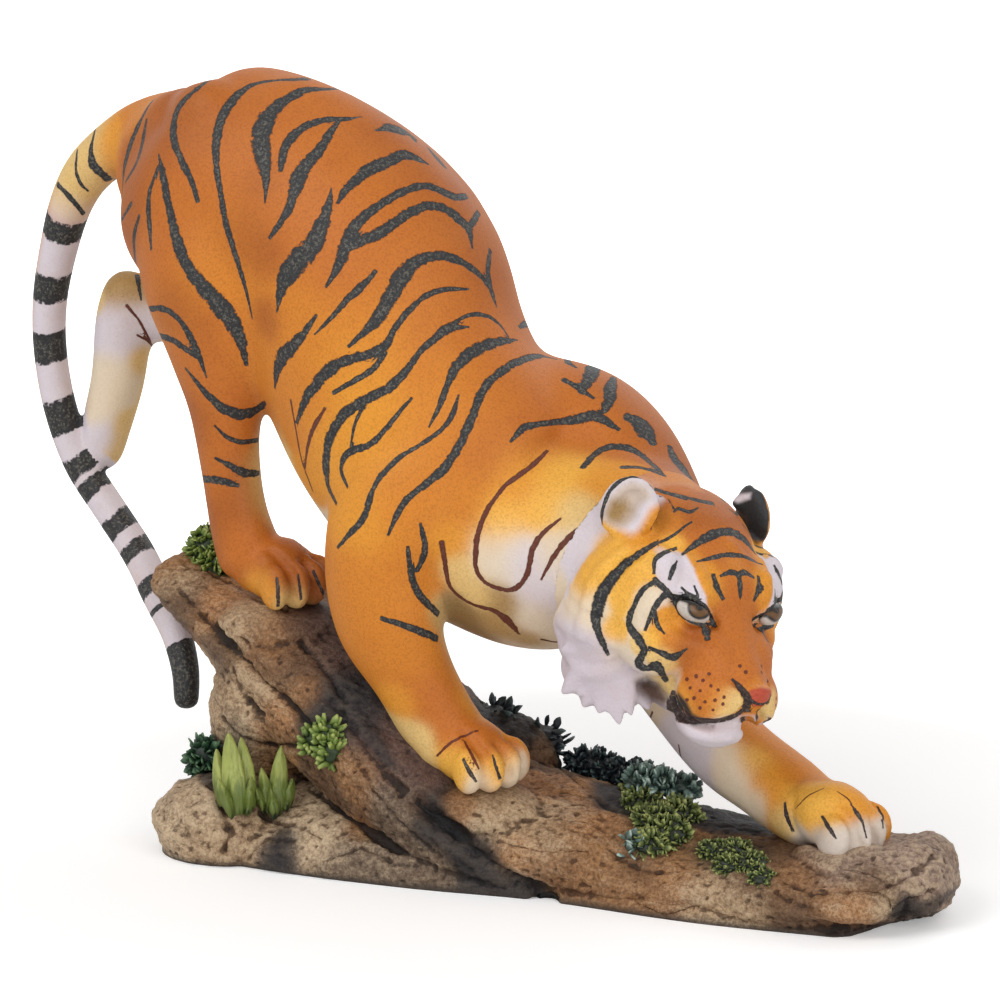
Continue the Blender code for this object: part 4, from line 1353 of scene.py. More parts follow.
def paint_tail(colours, near, at, rel):
    """White between the bands on the side of the tail, with a yellow edge towards the back."""
    outer = np.clip((-rel[:, 0] * 0.8 + rel[:, 2] * 0.35) / 5.0 - 0.35, 0, 1)
    white = PEARL + (GOLD - PEARL) * outer[:, None] * 0.9
    mask = np.clip((at + 18) / 22, 0, 1)
    colours[near] += (white - colours[near]) * mask[:, None]


def finish_paint(mesh, colours, marks):
    keep_values(mesh, "coat", colours)
    for part in ("side", "gap", "tone"):
        keep_values(mesh, "stripe_" + part, marks[part])


def shade_as_whole(mesh, cuts):
    """Near a cut the piece keeps the normals of the whole skin, so that no seam shows."""
    points, normals = vertex_arrays(mesh)
    stored = np.empty(len(points) * 3, np.float32)
    mesh.attributes["whole_normal"].data.foreach_get("vector", stored)
    stored = stored.reshape(-1, 3)
    share = np.zeros(len(points))
    for point, normal, reach in cuts:
        normal = np.array(normal) / np.linalg.norm(normal)
        rel = points - np.array(point)
        near = lengths(rel) < reach + 6
        share = np.maximum(share, near * np.clip((2.6 - np.abs(rel @ normal)) / 1.6, 0, 1))
    mixed = normals + (stored - normals) * share[:, None]
    mixed /= np.maximum(lengths(mixed), 1e-6)[:, None]
    mesh.shade_smooth()
    mesh.normals_split_custom_set_from_vertices(mixed.tolist())
    mesh.attributes.remove(mesh.attributes["whole_normal"])


def add_node(tree, kind, inputs, **settings):
    """A node whose inputs are joined to sockets or set to values; gives its outputs."""
    made = tree.nodes.new(kind)
    for key, value in settings.items():
        setattr(made, key, value)
    for key, value in inputs.items():
        if isinstance(value, bpy.types.NodeSocket):
            tree.links.new(value, made.inputs[key])
        else:
            made.inputs[key].default_value = value
    return made.outputs


class Paint:
    """A material and short calls for its nodes."""

    def __init__(self, name, roughness, specular=0.5):
        self.material = bpy.data.materials.new(name)
        self.material.use_nodes = True
        self.tree = self.material.node_tree
        self.shader = self.tree.nodes["Principled BSDF"]
        self.shader.inputs["Roughness"].default_value = roughness
        self.shader.inputs["Specular IOR Level"].default_value = specular
        self.place = self.add("ShaderNodeTexCoord", {})["Object"]

    def add(self, kind, inputs, **settings):
        return add_node(self.tree, kind, inputs, **settings)

    def noise(self, scale, detail=2.0, roughness=0.5, place=None):
        sizes = {"Scale": scale, "Detail": detail, "Roughness": roughness}
        return self.add("ShaderNodeTexNoise", {"Vector": place or self.place, **sizes})["Fac"]

    def stretched(self, scale, turn=(0.0, 0.0, 0.0)):
        placed = {"Vector": self.place, "Scale": scale, "Rotation": turn}
        return self.add("ShaderNodeMapping", placed)["Vector"]

    def math(self, kind, a, b=0.0):
        return self.add("ShaderNodeMath", {0: a, 1: b}, operation=kind)[0]

    def plus(self, a, b):
        return self.math("ADD", a, b)

    def times(self, a, b):
        return self.math("MULTIPLY", a, b)

    def swing(self, value, width):
        """A value from 0 to 1 as a swing about zero."""
        return self.times(self.math("SUBTRACT", value, 0.5), width)

    def span(self, value, low, high, first=0.0, last=1.0):
        inputs = {"Value": value, "From Min": low, "From Max": high, "To Min": first, "To Max": last}
        return self.add("ShaderNodeMapRange", inputs, interpolation_type="SMOOTHSTEP")["Result"]

    def mix(self, factor, a, b, kind="MIX"):
        a, b = (value if isinstance(value, bpy.types.NodeSocket) else (*value, 1.0) for value in (a, b))
        return self.add("ShaderNodeMix", {0: factor, 6: a, 7: b}, data_type="RGBA", blend_type=kind)[2]

    def shaded(self, factor, colour, shade):
        """A colour darkened towards a shade, as a wash of thin paint does; the same darkening also lays
        painted shade.
        """
        return self.mix(factor, colour, shade, "MULTIPLY")

    def attribute(self, name, colour=False):
        return self.add("ShaderNodeAttribute", {}, attribute_name=name)["Color" if colour else "Fac"]

    def paleness(self, colour, low, high, first, last):
        """How pale a colour is, judged by its blue, spread over a range."""
        blue = self.add("ShaderNodeSeparateColor", {"Color": colour})["Blue"]
        return self.span(blue, low, high, first, last)

    def bump(self, height, distance, strength=1.0):
        bumped = self.add("ShaderNodeBump", {"Strength": strength, "Distance": distance, "Height": height})
        self.tree.links.new(bumped["Normal"], self.shader.inputs["Normal"])

    def colour(self, value):
        self.tree.links.new(value, self.shader.inputs["Base Color"])


# Grey flecks in the middle of the stripes: grey paint, and painted glints as well.
STRIPE_FLECK_AND_GLINT = tint(126, 122, 110)
BROWN_LINE = tint(104, 46, 26)
GRAIN_WASH = (0.55, 0.46, 0.40)
PATCH_WASH = (0.85, 0.70, 0.6)


def tiger_paint():
    p = Paint("painted_tiger_coat", 0.5, 0.28)
    side = p.times(p.math("ABSOLUTE", p.attribute("stripe_side")), 0.9)
    brush = p.noise(1000.0, 2.0, 0.6)
    ragged = p.plus(p.plus(side, p.swing(brush, 0.8)), p.swing(p.noise(330.0, 1.0), 0.8))
    close = p.span(p.attribute("stripe_gap"), 0.35, 0.75, 1.0, 0.0)
    mask = p.times(p.span(ragged, 0.85, 1.1, 1.0, 0.0), close)
    # Flecks of grey paint and of painted glint, most of them in the middle of a stripe.
    fleck_and_glint = p.span(p.noise(1100.0, 3.0, 0.75), 0.47, 0.66)
    middle = p.times(fleck_and_glint, p.span(side, 0.3, 0.9, 0.55, 0.06))
    dark = p.mix(middle, CHARCOAL * 0.8, STRIPE_FLECK_AND_GLINT)
    dark = p.mix(p.attribute("stripe_tone"), dark, BROWN_LINE)
    grain = p.noise(1400.0, 2.0, 0.7)
    patchy = p.noise(95.0, 3.0, 0.55)
    coat = p.attribute("coat", True)
    grainy = p.times(p.span(grain, 0.42, 0.7, 0.0, 0.42), p.paleness(coat, 0.12, 0.4, 1.0, 0.3))
    coat = p.shaded(grainy, coat, GRAIN_WASH)
    coat = p.shaded(p.span(patchy, 0.45, 0.75, 0.0, 0.25), coat, PATCH_WASH)
    p.colour(p.mix(mask, coat, dark))
    p.bump(p.math("SUBTRACT", p.times(grain, 0.5), p.times(mask, p.plus(0.5, brush))), 0.00045, 0.8)
    return p.material


def cut_flat(mesh):
    """Cuts off what reaches below the underside and closes the cut with one flat face."""
    bm = bmesh.new()
    bm.from_mesh(mesh)
    geom = list(bm.verts) + list(bm.edges) + list(bm.faces)
    bmesh.ops.bisect_plane(bm, geom=geom, dist=CUT_TOLERANCE, plane_co=(0, 0, 0), plane_no=(0, 0, -1),
                           clear_outer=True)
    open_edges = [e for e in bm.edges if e.is_boundary]
    filled = bmesh.ops.holes_fill(bm, edges=open_edges, sides=0)["faces"]
    bmesh.ops.triangulate(bm, faces=filled)
    bmesh.ops.recalc_face_normals(bm, faces=bm.faces)
    bm.to_mesh(mesh)
    bm.free()


# Crevices of the rock, and its swellings with a depth below 0: pixels of the path, reach and depth in mm
CREVICES = (
    (((197, 616), (214, 634), (240, 656), (265, 685), (292, 705), (306, 722)), 3.2, 3.0),
    (((234, 625), (256, 656), (274, 679), (292, 696)), 1.4, 1.2),
    (((204, 569), (234, 585), (265, 603), (286, 610)), 1.6, 0.9),
    (((180, 590), (200, 612), (214, 634)), 1.6, 1.2),
    (((222, 719), (247, 739), (274, 744), (301, 748)), 1.8, 1.6),
    (((228, 660), (240, 690), (262, 716)), 1.3, 1.0),
    (((296, 763), (310, 788), (341, 812), (374, 835), (398, 852)), 2.0, 1.8),
    (((418, 800), (443, 826), (471, 852), (493, 870), (521, 885), (548, 900)), 4.4, 4.2),
    (((528, 760), (560, 771), (584, 790), (612, 809)), 2.2, 1.2),
    (((756, 869), (770, 887), (790, 902)), 1.4, 1.0),
    (((814, 862), (845, 869), (868, 875), (886, 884)), 1.3, 0.9),
    (((786, 882), (812, 892), (840, 895), (866, 893), (890, 901)), 1.8, 1.6),
    (((879, 893), (897, 887), (913, 874), (935, 858)), 1.8, 1.4),
    (((886, 908), (906, 902), (930, 893), (962, 878)), 2.2, 2.4),
    (((894, 936), (900, 920), (906, 902)), 1.6, 1.4),
    (((819, 842), (837, 842), (861, 833)), 1.0, 0.8),
    (((213, 783), (224, 806), (229, 832), (225, 855)), 2.4, 2.2),
    (((262, 812), (280, 822), (300, 826), (320, 842)), 1.6, 1.2),
    (((330, 860), (360, 848), (390, 862)), 1.6, 1.2),
    (((250, 858), (268, 838), (290, 842)), 1.6, 1.2),
    (((330, 700), (352, 732), (380, 768), (404, 794)), 2.6, 1.8),
    (((340, 730), (372, 790), (410, 830), (440, 858)), 1.4, 1.0),
    (((300, 640), (322, 668), (342, 700)), 2.0, 1.4),
    (((610, 850), (640, 868), (680, 872)), 1.4, 1.0),
    (((640, 905), (668, 912), (700, 908)), 1.4, 1.0),
    (((470, 812), (505, 822), (540, 820)), 1.1, 0.7),
    (((500, 842), (540, 852), (585, 850)), 1.2, 0.8),
    (((806, 854), (826, 864), (848, 862), (872, 852)), 5.0, -2.5),
    (((818, 863), (836, 866)), 4.0, -1.2),
    (((822, 906), (850, 908), (880, 910)), 6.0, -2.6),
    (((905, 918), (924, 912)), 4.0, -1.6),
    (((610, 885), (650, 892), (690, 896)), 7.0, -1.8),
)


# The vector noise takes its offsets from this seed, so that the crevices run the same way each time
noise.seed_set(5)


def wandering(path, amount, seed):
    """A path with each point moved a little, so that a crevice doesn't run straight."""
    return [place + np.array(noise.noise_vector(Vector(place) * 0.21 + Vector((seed, 0, 0)))) * amount
            for place in path]


def carve_rock(mesh):
    """Layered slabs, crevices and lumps of the modelled stone."""
    tree = surface_tree(mesh)
    for k, (rows, reach, depth) in enumerate(CREVICES):
        path = [seen_at(tree, x, y) for x, y in rows]
        path = [hit[0] for hit in path if hit is not None]
        if len(path) > 1:
            press(mesh, wandering(path, 1.6, k), reach, depth)
    points, normals = vertex_arrays(mesh)
    lift = np.zeros(len(points))
    for i in range(len(points)):
        x, y, z = points[i]
        ledge = noise.ridged_multi_fractal(Vector((x * 0.018 + z * 0.022, y * 0.045, z * 0.07 + x * 0.03)),
                                           0.9, 2.1, 3, 1.0, 2.0) - 1.1
        lump = noise.noise(Vector((x * 0.055, y * 0.06, z * 0.09 + x * 0.03)))
        chip = noise.noise(Vector((x * 0.24, y * 0.24, z * 0.36)))
        grit = noise.noise(Vector((x * 0.7, y * 0.7, z * 0.8)))
        facet = noise.voronoi(Vector((x * 0.11, y * 0.12, z * 0.17 + x * 0.05)))[0]
        split = min(1.0, (facet[1] - facet[0]) * 5)
        pock = max(0.0, noise.noise(Vector((x * 0.42, y * 0.42, z * 0.55))) - 0.28)
        lift[i] = 1.3 * ledge + 1.5 * lump + 0.65 * chip + 0.42 * grit + 0.4 * split - 2.0 * pock
    keep = np.clip(points[:, 2] / 1.2, 0, 1)
    for sole in (HIND_PAW, FRONT_PAW, REACHING_PAW):
        away = lengths(points - np.array(sole))
        keep = np.minimum(keep, np.clip((away - 12) / 10, 0.25, 1))
    points += normals * (lift * keep * 0.8)[:, None]
    points[:, 2] = np.maximum(points[:, 2], 0)
    set_points(mesh, points)


def hollow_depth(mesh, rounds):
    """How deep each point lies below its smoothed surroundings, in mm."""
    before, normals = vertex_arrays(mesh)
    calm = mesh.copy()
    relax(calm, rounds, factor=0.6)
    after, _ = vertex_arrays(calm)
    bpy.data.meshes.remove(calm)
    return dots(after - before, normals)


STONE_TAN = tint(186, 158, 124)
STONE_CREAM = tint(206, 182, 150)
STONE_BROWN = tint(112, 84, 60)
STONE_RUST = tint(180, 132, 88)
STONE_GREY = tint(122, 104, 86)
STONE_PINK = tint(168, 144, 126)
STONE_BLACK_AND_SHADE = tint(46, 42, 44)
STONE_VIOLET = tint(94, 70, 62)
STONE_EARTH = tint(158, 116, 76)
MOSS_DARK = tint(40, 48, 34)

# Paint of the stone, in the same form as COAT; most near-black spots lie in crevices and hollows and are
# painted shade there as well as dark paint
ROCK_COAT = (
    (STONE_EARTH, ((200, 560, 8), (270, 640, 8), (305, 690, 4), (355, 780, 6), (360, 830, 4),
     (460, 805, 4), (600, 865, 8), (560, 870, 5), (640, 890, 8), (800, 880, 6), (820, 905, 4),
     (670, 870, 6))),
    (STONE_RUST, ((230, 592, 7), (270, 725, 6), (575, 820, 7), (560, 790, 6), (520, 850, 5),
     (670, 890, 6), (835, 904, 4), (856, 906, 4.5))),
    (STONE_TAN, ((246, 614, 7), (190, 580, 5), (250, 700, 7), (215, 690, 6), (200, 845, 6), (250, 825, 6),
     (500, 812, 6), (540, 830, 8), (700, 902, 7), (735, 905, 6), (885, 908, 3))),
    (STONE_BROWN, ((182, 600, 5), (220, 660, 5), (300, 660, 6), (330, 790, 6), (545, 765, 5),
     (650, 800, 5), (780, 850, 6), (750, 885, 5), (860, 928, 4), (800, 915, 6), (870, 878, 6),
     (640, 860, 6))),
    (STONE_CREAM, ((240, 722, 4), (180, 820, 9), (320, 835, 6), (300, 812, 5), (562, 812, 5))),
    (STONE_VIOLET, ((305, 620, 6), (330, 650, 7), (380, 740, 7), (400, 780, 6), (700, 800, 6))),
    # Near-black spots, most of them in crevices and hollows: dark paint and painted shade.
    (STONE_BLACK_AND_SHADE, ((340, 700, 7), (360, 715, 6), (280, 845, 5), (440, 820, 5), (510, 735, 5),
     (590, 770, 5), (480, 860, 6), (520, 885, 4), (620, 800, 6), (730, 820, 5), (900, 905, 3))),
    (STONE_GREY, ((390, 800, 6), (350, 860, 7), (400, 850, 6), (430, 868, 5), (400, 872, 5))),
    (STONE_PINK, ((840, 855, 8), (900, 850, 9), (940, 860, 6))),
)

# Outlines in pixels of the stone's darkest hollows
STONE_IN_SHADE = (
    ((893, 912), (905, 904), (932, 897), (956, 886), (958, 894), (940, 908), (934, 924), (914, 932),
     (893, 935)),
    ((196, 740), (216, 738), (236, 752), (226, 790), (200, 786)),
    ((332, 690), (352, 690), (384, 740), (398, 772), (382, 766), (350, 722)),
)


def paint_rock(mesh):
    tree = surface_tree(mesh)
    points, normals = vertex_arrays(mesh)
    spots = []
    for place, _, reach, colour in seen_spots(tree, ROCK_COAT):
        spots.append((place, reach, colour))
        behind = (place[0], 26 - 0.3 * place[1], place[2])
        spots.append((np.array(behind), reach * 1.3, colour))
    total = np.zeros(len(points))
    mixed = np.zeros((len(points), 3))
    for place, reach, colour in spots:
        away = ((points - place) ** 2).sum(1)
        weight = np.exp(-away / reach ** 2) + 1e-4 / (1 + away / reach ** 2) ** 2
        total += weight
        mixed += weight[:, None] * colour
    colours = mixed / total[:, None]
    deep = hollow_depth(mesh, 60)
    fine = hollow_depth(mesh, 6)
    for clump in CLUMPS:
        rel = (points - np.array(clump[:3])) / np.array(clump[3:])
        blend(colours, np.clip(1.5 - lengths(rel), 0, 1), MOSS_DARK)
    pixels = to_pixels(points)
    facing = normals @ VIEW_BACK
    for corners in STONE_IN_SHADE:
        blend(colours, inside_patch(pixels, corners, 5) * np.clip(facing * 4 + 0.5, 0, 1) * 0.8, STONE_BLACK_AND_SHADE)
    # Painted shade: the stone goes near black towards its bottom edge, for the shadow line under the base.
    blend(colours, np.clip(1.2 - points[:, 2] / 2.4, 0, 1) * 0.9, STONE_BLACK_AND_SHADE)
    for name, values in (("coat", colours), ("hollow", deep), ("pit", fine)):
        keep_values(mesh, name, values)


# Washes of thin paint on the stone, from the broad blotches to the deepest hollows; the darkening of pits and
# hollows is painted shade as well as wash
BLOTCH_WASH = (0.42, 0.34, 0.30)
GRIT_WASH = (0.42, 0.36, 0.32)
PIT_WASH_AND_SHADE = (0.22, 0.17, 0.14)
HOLLOW_WASH_AND_SHADE = (0.10, 0.08, 0.08)


def rock_paint():
    p = Paint("painted_rock", 0.62, 0.3)
    coat = p.attribute("coat", True)
    pit = p.attribute("pit")
    grain = p.noise(1000.0, 3.0, 0.75)
    streak = p.noise(230.0, 4.0, 0.65, p.stretched((0.35, 1.0, 1.6), (0.0, math.radians(25), 0.0)))

    def creamed(share):
        return p.mix(p.times(share, p.paleness(coat, 0.03, 0.14, 0.1, 1.0)), coat, STONE_CREAM)

    coat = creamed(p.span(streak, 0.5, 0.74, 0.0, 0.5))
    coat = p.shaded(p.span(p.noise(75.0, 6.0, 0.72), 0.42, 0.68, 0.0, 0.6), coat, BLOTCH_WASH)
    coat = p.shaded(p.span(grain, 0.40, 0.6, 0.72, 0.0), coat, GRIT_WASH)
    coat = creamed(p.span(pit, -0.03, -0.26, 0.0, 0.36))
    # Darker in pits and in deep hollows: the wash that gathers there, and painted shade.
    coat = p.shaded(p.span(pit, 0.0, 0.24, 0.0, 0.78), coat, PIT_WASH_AND_SHADE)
    coat = p.shaded(p.span(p.attribute("hollow"), 0.3, 1.5, 0.0, 0.85), coat, HOLLOW_WASH_AND_SHADE)
    p.colour(coat)
    p.bump(p.plus(p.times(grain, 0.6), streak), 0.0009, 0.9)
    return p.material


stone = remeshed("rock_skin", build_rock(), ROCK_VOXEL)
cut_flat(stone)
carve_rock(stone)
paint_rock(stone)


whole_tree = surface_tree(whole)
head_tree = surface_tree(head_mesh)
carve_face(head_mesh, head_tree)
ruffle(head_mesh)
relax(head_mesh, 2)
pull_edges(head_mesh, head_tree)


def laid(table, steps=6, share=1.0):
    """Every stroke of a table as runs on the body, with its width times share."""
    runs = []
    for rows in table:
        runs += laid_runs(whole_tree, [(x, y, wide * share) for x, y, wide in rows], steps)
    return runs


charcoal_runs = laid(BODY_STRIPES)
charcoal_runs += mirrored_runs(whole_tree, charcoal_runs)
brown_runs = laid(BROWN_STROKES, share=0.78)
brown_runs += mirrored_runs(whole_tree, brown_runs)

# Each kind of stroke with its tone, from 0 for charcoal to 1 for brown
TONED_RUNS = ((charcoal_runs, 0.0), (brown_runs, 0.75), (laid(TOE_STROKES, 3), 0.1),
              (laid(CREASE_SHADE_STROKES, 4), 0.9))

NECK = NECK_CUT[:3]
WAIST = WAIST_CUT[:3]
for mesh in (parts[0], parts[2]):
    points, normals = vertex_arrays(mesh)
    colours = coat_colour(points, normals, whole_tree)
    marks = new_marks(len(points))
    for runs, tone in TONED_RUNS:
        add_runs(marks, points, normals, runs, tone)
    paint_tail(colours, *tail_marks(marks, points))
    finish_paint(mesh, colours, marks)
    shade_as_whole(mesh, (NECK, WAIST))
points, normals = vertex_arrays(head_mesh)
colours, marks = paint_head(points, normals, head_tree)
add_runs(marks, points, normals, charcoal_runs)
finish_paint(head_mesh, colours, marks)
shade_as_whole(head_mesh, (NECK,))


def add_blade(bm, rows, around):
    """A closed leaf; each row is a middle in mm, the half width, the half thickness and the turn about z."""
    rings = []
    for k, (middle, half_width, half_thick, turn) in enumerate(rows):
        along = Vector(rows[min(k + 1, len(rows) - 1)][0]) - Vector(rows[max(k - 1, 0)][0])
        across = Vector((math.cos(turn), math.sin(turn), 0))
        across = (across - along * across.dot(along) / along.length_squared).normalized()
        out = across.cross(along.normalized())
        ring = []
        for j in range(around):
            angle = 2 * math.pi * j / around
            ridge = 1.0 + 0.45 * max(0.0, math.sin(angle)) ** 6
            wide = across * half_width * math.cos(angle)
            point = Vector(middle) + wide + out * half_thick * math.sin(angle) * ridge
            ring.append(bm.verts.new(point * MM))
        rings.append(ring)
    for low, high in zip(rings, rings[1:]):
        for j in range(around):
            n = (j + 1) % around
            bm.faces.new((low[j], low[n], high[n], high[j]))
    bm.faces.new(rings[0][::-1])
    bm.faces.new(rings[-1])


def small_leaf(name, length, half_width, half_thick, around=6):
    """One leaf along z, a few dozen faces, with the attribute tip from 0 at its foot to 1 at its point."""
    bm = bmesh.new()
    rows = []
    for t, w in ((0, 0.35), (0.3, 0.85), (0.55, 1.0), (0.8, 0.68), (1.0, 0.14)):
        middle = (math.sin(t * 2.2) * 0.12 * length, 0, t * length - 0.08 * length)
        rows.append((middle, half_width * w, half_thick * (1 - 0.6 * t), 0.0))
    add_blade(bm, rows, around)
    bmesh.ops.recalc_face_normals(bm, faces=bm.faces)
    mesh = mesh_from(bm, name)
    points, _ = vertex_arrays(mesh)
    keep_values(mesh, "tip", np.clip(points[:, 2] / length, 0, 1))
    mesh.shade_smooth()
    return skin_object(name, mesh)


def scatter_tree():
    """Geometry nodes that set a leaf on many points of a mound, each turned and sized by chance."""
    tree = bpy.data.node_groups.new("leaves_on_mound", "GeometryNodeTree")
    sockets = {"Mound": "Geometry", "Leaf": "Object", "Leaves per square mm": "Float", "Smallest": "Float",
               "Largest": "Float", "Lean": "Float", "Upright": "Float", "Seed": "Int", "Paint": "Material"}
    for label, kind in sockets.items():
        tree.interface.new_socket(label, in_out="INPUT", socket_type="NodeSocket" + kind)
    tree.interface.new_socket("Leaves", in_out="OUTPUT", socket_type="NodeSocketGeometry")

    def node(kind, inputs, **settings):
        return add_node(tree, kind, inputs, **settings)

    def chance(inputs, data_type="FLOAT"):
        return node("FunctionNodeRandomValue", {**inputs, "Seed": given["Seed"]}, data_type=data_type)

    def vector(operation, a, key, b):
        return node("ShaderNodeVectorMath", {0: a, key: b}, operation=operation)[0]

    given = node("NodeGroupInput", {})
    dense = node("ShaderNodeMath", {0: given["Leaves per square mm"], 1: 1 / MM ** 2}, operation="MULTIPLY")
    points = node("GeometryNodeDistributePointsOnFaces",
                  {"Mesh": given["Mound"], "Density": dense[0], "Seed": given["Seed"]})
    up = vector("SCALE", (0.0, 0.0, 1.0), "Scale", given["Upright"])
    anyhow = chance({0: (-1.0, -1.0, -1.0), 1: (1.0, 1.0, 1.0)}, "FLOAT_VECTOR")[0]
    lean = vector("SCALE", anyhow, "Scale", given["Lean"])
    aim = vector("ADD", vector("ADD", points["Normal"], 1, up), 1, lean)
    align = node("FunctionNodeAlignRotationToVector", {"Vector": aim}, axis="Z")
    spin = node("ShaderNodeCombineXYZ", {"Z": chance({3: 2 * math.pi})[1]})
    turned = node("FunctionNodeRotateRotation", {0: align[0], 1: spin[0]}, rotation_space="LOCAL")
    size = chance({2: given["Smallest"], 3: given["Largest"]})[1]
    leaf = node("GeometryNodeObjectInfo", {"Object": given["Leaf"]}, transform_space="ORIGINAL")
    put = node("GeometryNodeInstanceOnPoints", {"Points": points["Points"], "Instance": leaf["Geometry"],
                                                "Rotation": turned[0], "Scale": size})
    shade = node("GeometryNodeStoreNamedAttribute",
                 {"Name": "shade", "Geometry": put[0], "Value": chance({})[1]},
                 data_type="FLOAT", domain="INSTANCE")
    real = node("GeometryNodeRealizeInstances", {"Geometry": shade[0]})
    painted = node("GeometryNodeSetMaterial", {"Geometry": real[0], "Material": given["Paint"]})
    node("NodeGroupOutput", {"Leaves": painted[0]})
    return tree


def mound(bm, clump):
    """A closed, slightly lumpy ball of a clump's size."""
    middle, half = Vector(clump[:3]), clump[3:]
    made = bmesh.ops.create_icosphere(bm, subdivisions=4, radius=1.0)["verts"]
    for vert in made:
        lump = 1 + 0.2 * noise.noise(vert.co * 2.3 + middle)
        vert.co = (middle + Vector([vert.co[k] * half[k] * lump for k in range(3)])) * MM


def seated(tree, rows):
    """Clumps set on the stone: pixels of the middle, mm sunk into it, and half sizes in mm.

    A middle just above the stone's edge comes down to it."""
    out = []
    for x, y, sunk, *half in rows:
        hit = seen_at(tree, x, y)
        while hit is None:
            y += 2
            hit = seen_at(tree, x, y)
        place = hit[0]
        out.append(tuple(place - VIEW_BACK * sunk) + tuple(half))
    return out


def leafy(name, clumps, leaf, paint, density, sizes, lean, upright, seed):
    """A piece: dark mounds covered with leaves."""
    bm = bmesh.new()
    for clump in clumps:
        mound(bm, clump)
    maker = skin_object(name + "_mound", mesh_from(bm, name + "_mound"))
    cover = maker.modifiers.new("leaves", "NODES")
    cover.node_group = LEAVES
    values = {"Leaf": leaf, "Leaves per square mm": density, "Smallest": sizes[0], "Largest": sizes[1],
              "Lean": lean, "Upright": upright, "Seed": seed, "Paint": paint}
    for item in LEAVES.interface.items_tree:
        if item.in_out == "INPUT" and item.name in values:
            cover[item.identifier] = values[item.name]
    leaves = finished_mesh(maker, name + "_leaves")
    bm = bmesh.new()
    bm.from_mesh(leaves)
    for clump in clumps:
        mound(bm, clump)
    bm.to_mesh(leaves)
    bm.free()
    leaves.shade_smooth()
    return leaves


def leaf_paint(name, dark, middle, light):
    p = Paint(name, 0.5, 0.4)
    tone = p.plus(p.times(p.attribute("tip"), 0.75), p.times(p.attribute("shade"), 0.45))
    tone = p.plus(tone, p.swing(p.noise(900.0, 2.0), 0.5))
    colour = p.mix(p.span(tone, 0.15, 0.65), dark, middle)
    p.colour(p.mix(p.span(tone, 0.7, 1.1), colour, light))
    return p.material


# Long leaves at the foot of the rock: foot, tip and width in pixels, mm towards the viewer at foot and tip
LONG_LEAVES = (
    ((237, 810), (229, 733), 24, 2.0, 1.0),
    ((250, 804), (241, 738), 19, 1.0, -1.0),
    ((223, 803), (217, 748), 15, 2.0, 2.0),
    ((232, 812), (219, 778), 12, 3.5, 4.5),
    ((248, 812), (252, 776), 11, 3.0, 3.0),
    ((276, 812), (282, 745), 19, 1.5, 0.5),
    ((269, 808), (262, 768), 15, 2.5, 2.5),
    ((285, 808), (293, 778), 14, 2.0, 2.0),
    ((264, 806), (255, 786), 10, 2.5, 3.0),
    ((275, 814), (272, 788), 12, 4.0, 5.0),
)

# Share of a long leaf's width at shares of its length
LONG_LEAF_WIDTHS = ((-0.06, 0.55), (0.08, 0.8), (0.22, 0.96), (0.4, 1.0), (0.56, 0.93), (0.7, 0.78),
                    (0.83, 0.58), (0.93, 0.36), (0.98, 0.2), (1.0, 0.06))


def long_leaves(tree):
    bm = bmesh.new()
    for foot, tip, width, near_foot, near_tip in LONG_LEAVES:
        start, _ = seen_at(tree, foot[0], foot[1])
        start = start + VIEW_BACK * near_foot
        rise = (foot[1] - tip[1]) / PIXELS_PER_MM
        side = (tip[0] - foot[0]) / PIXELS_PER_MM
        end = start + VIEW_UP * rise + VIEW_RIGHT * side + VIEW_BACK * (near_tip - near_foot)
        rows = []
        for t, w in LONG_LEAF_WIDTHS:
            bow = math.sin(t * math.pi) * 0.5 + 0.5 * math.sin(t * 11 + foot[0])
            middle = start + (end - start) * t + VIEW_BACK * bow
            rows.append((tuple(middle), width / PIXELS_PER_MM * 0.5 * w, 1.7 * (1 - 0.5 * max(t, 0)),
                         VIEW_TURN + 0.15 * math.sin(foot[0])))
        add_blade(bm, rows, 16)
    bmesh.ops.recalc_face_normals(bm, faces=bm.faces)
    mesh = doubled(mesh_from(bm, "long_leaves"), "long_leaves")
    points, _ = vertex_arrays(mesh)
    keep_values(mesh, "tip", np.clip((points[:, 2] - min(points[:, 2])) / 15, 0, 1))
    mesh.shade_smooth()
    return mesh


def long_leaf_paint():
    p = Paint("long_leaf_green", 0.45, 0.4)
    groove = p.noise(420.0, 2.0, 0.5, p.stretched((2.2, 2.2, 0.22)))
    tone = p.plus(p.attribute("tip"), p.swing(groove, 0.9))
    colour = p.mix(p.span(tone, 0.02, 0.38), tint(26, 38, 24), tint(96, 110, 46))
    p.colour(p.mix(p.span(tone, 0.55, 1.1), colour, tint(158, 166, 88)))
    p.bump(groove, 0.0006, 0.8)
    return p.material


LEAVES = scatter_tree()
tiny_leaf = small_leaf("tiny_leaf", 2.0, 0.8, 0.32)
broad_leaf = small_leaf("broad_leaf", 4.4, 1.5, 1.2, around=8)
spiky_leaf = small_leaf("spiky_leaf", 4.6, 1.5, 0.5)
bush_green = leaf_paint("bush_green", tint(34, 42, 28), tint(84, 96, 48), tint(156, 162, 96))
fresh_green = leaf_paint("fresh_green", tint(40, 56, 28), tint(108, 128, 58), tint(158, 170, 96))
shade_green = leaf_paint("shade_green", tint(20, 26, 32), tint(36, 46, 52), tint(86, 108, 108))
deep_green = leaf_paint("deep_green", tint(18, 34, 24), tint(36, 66, 44), tint(84, 116, 80))
blue_green = leaf_paint("blue_green", tint(44, 58, 52), tint(92, 114, 106), tint(170, 190, 180))
stone_tree = surface_tree(stone)

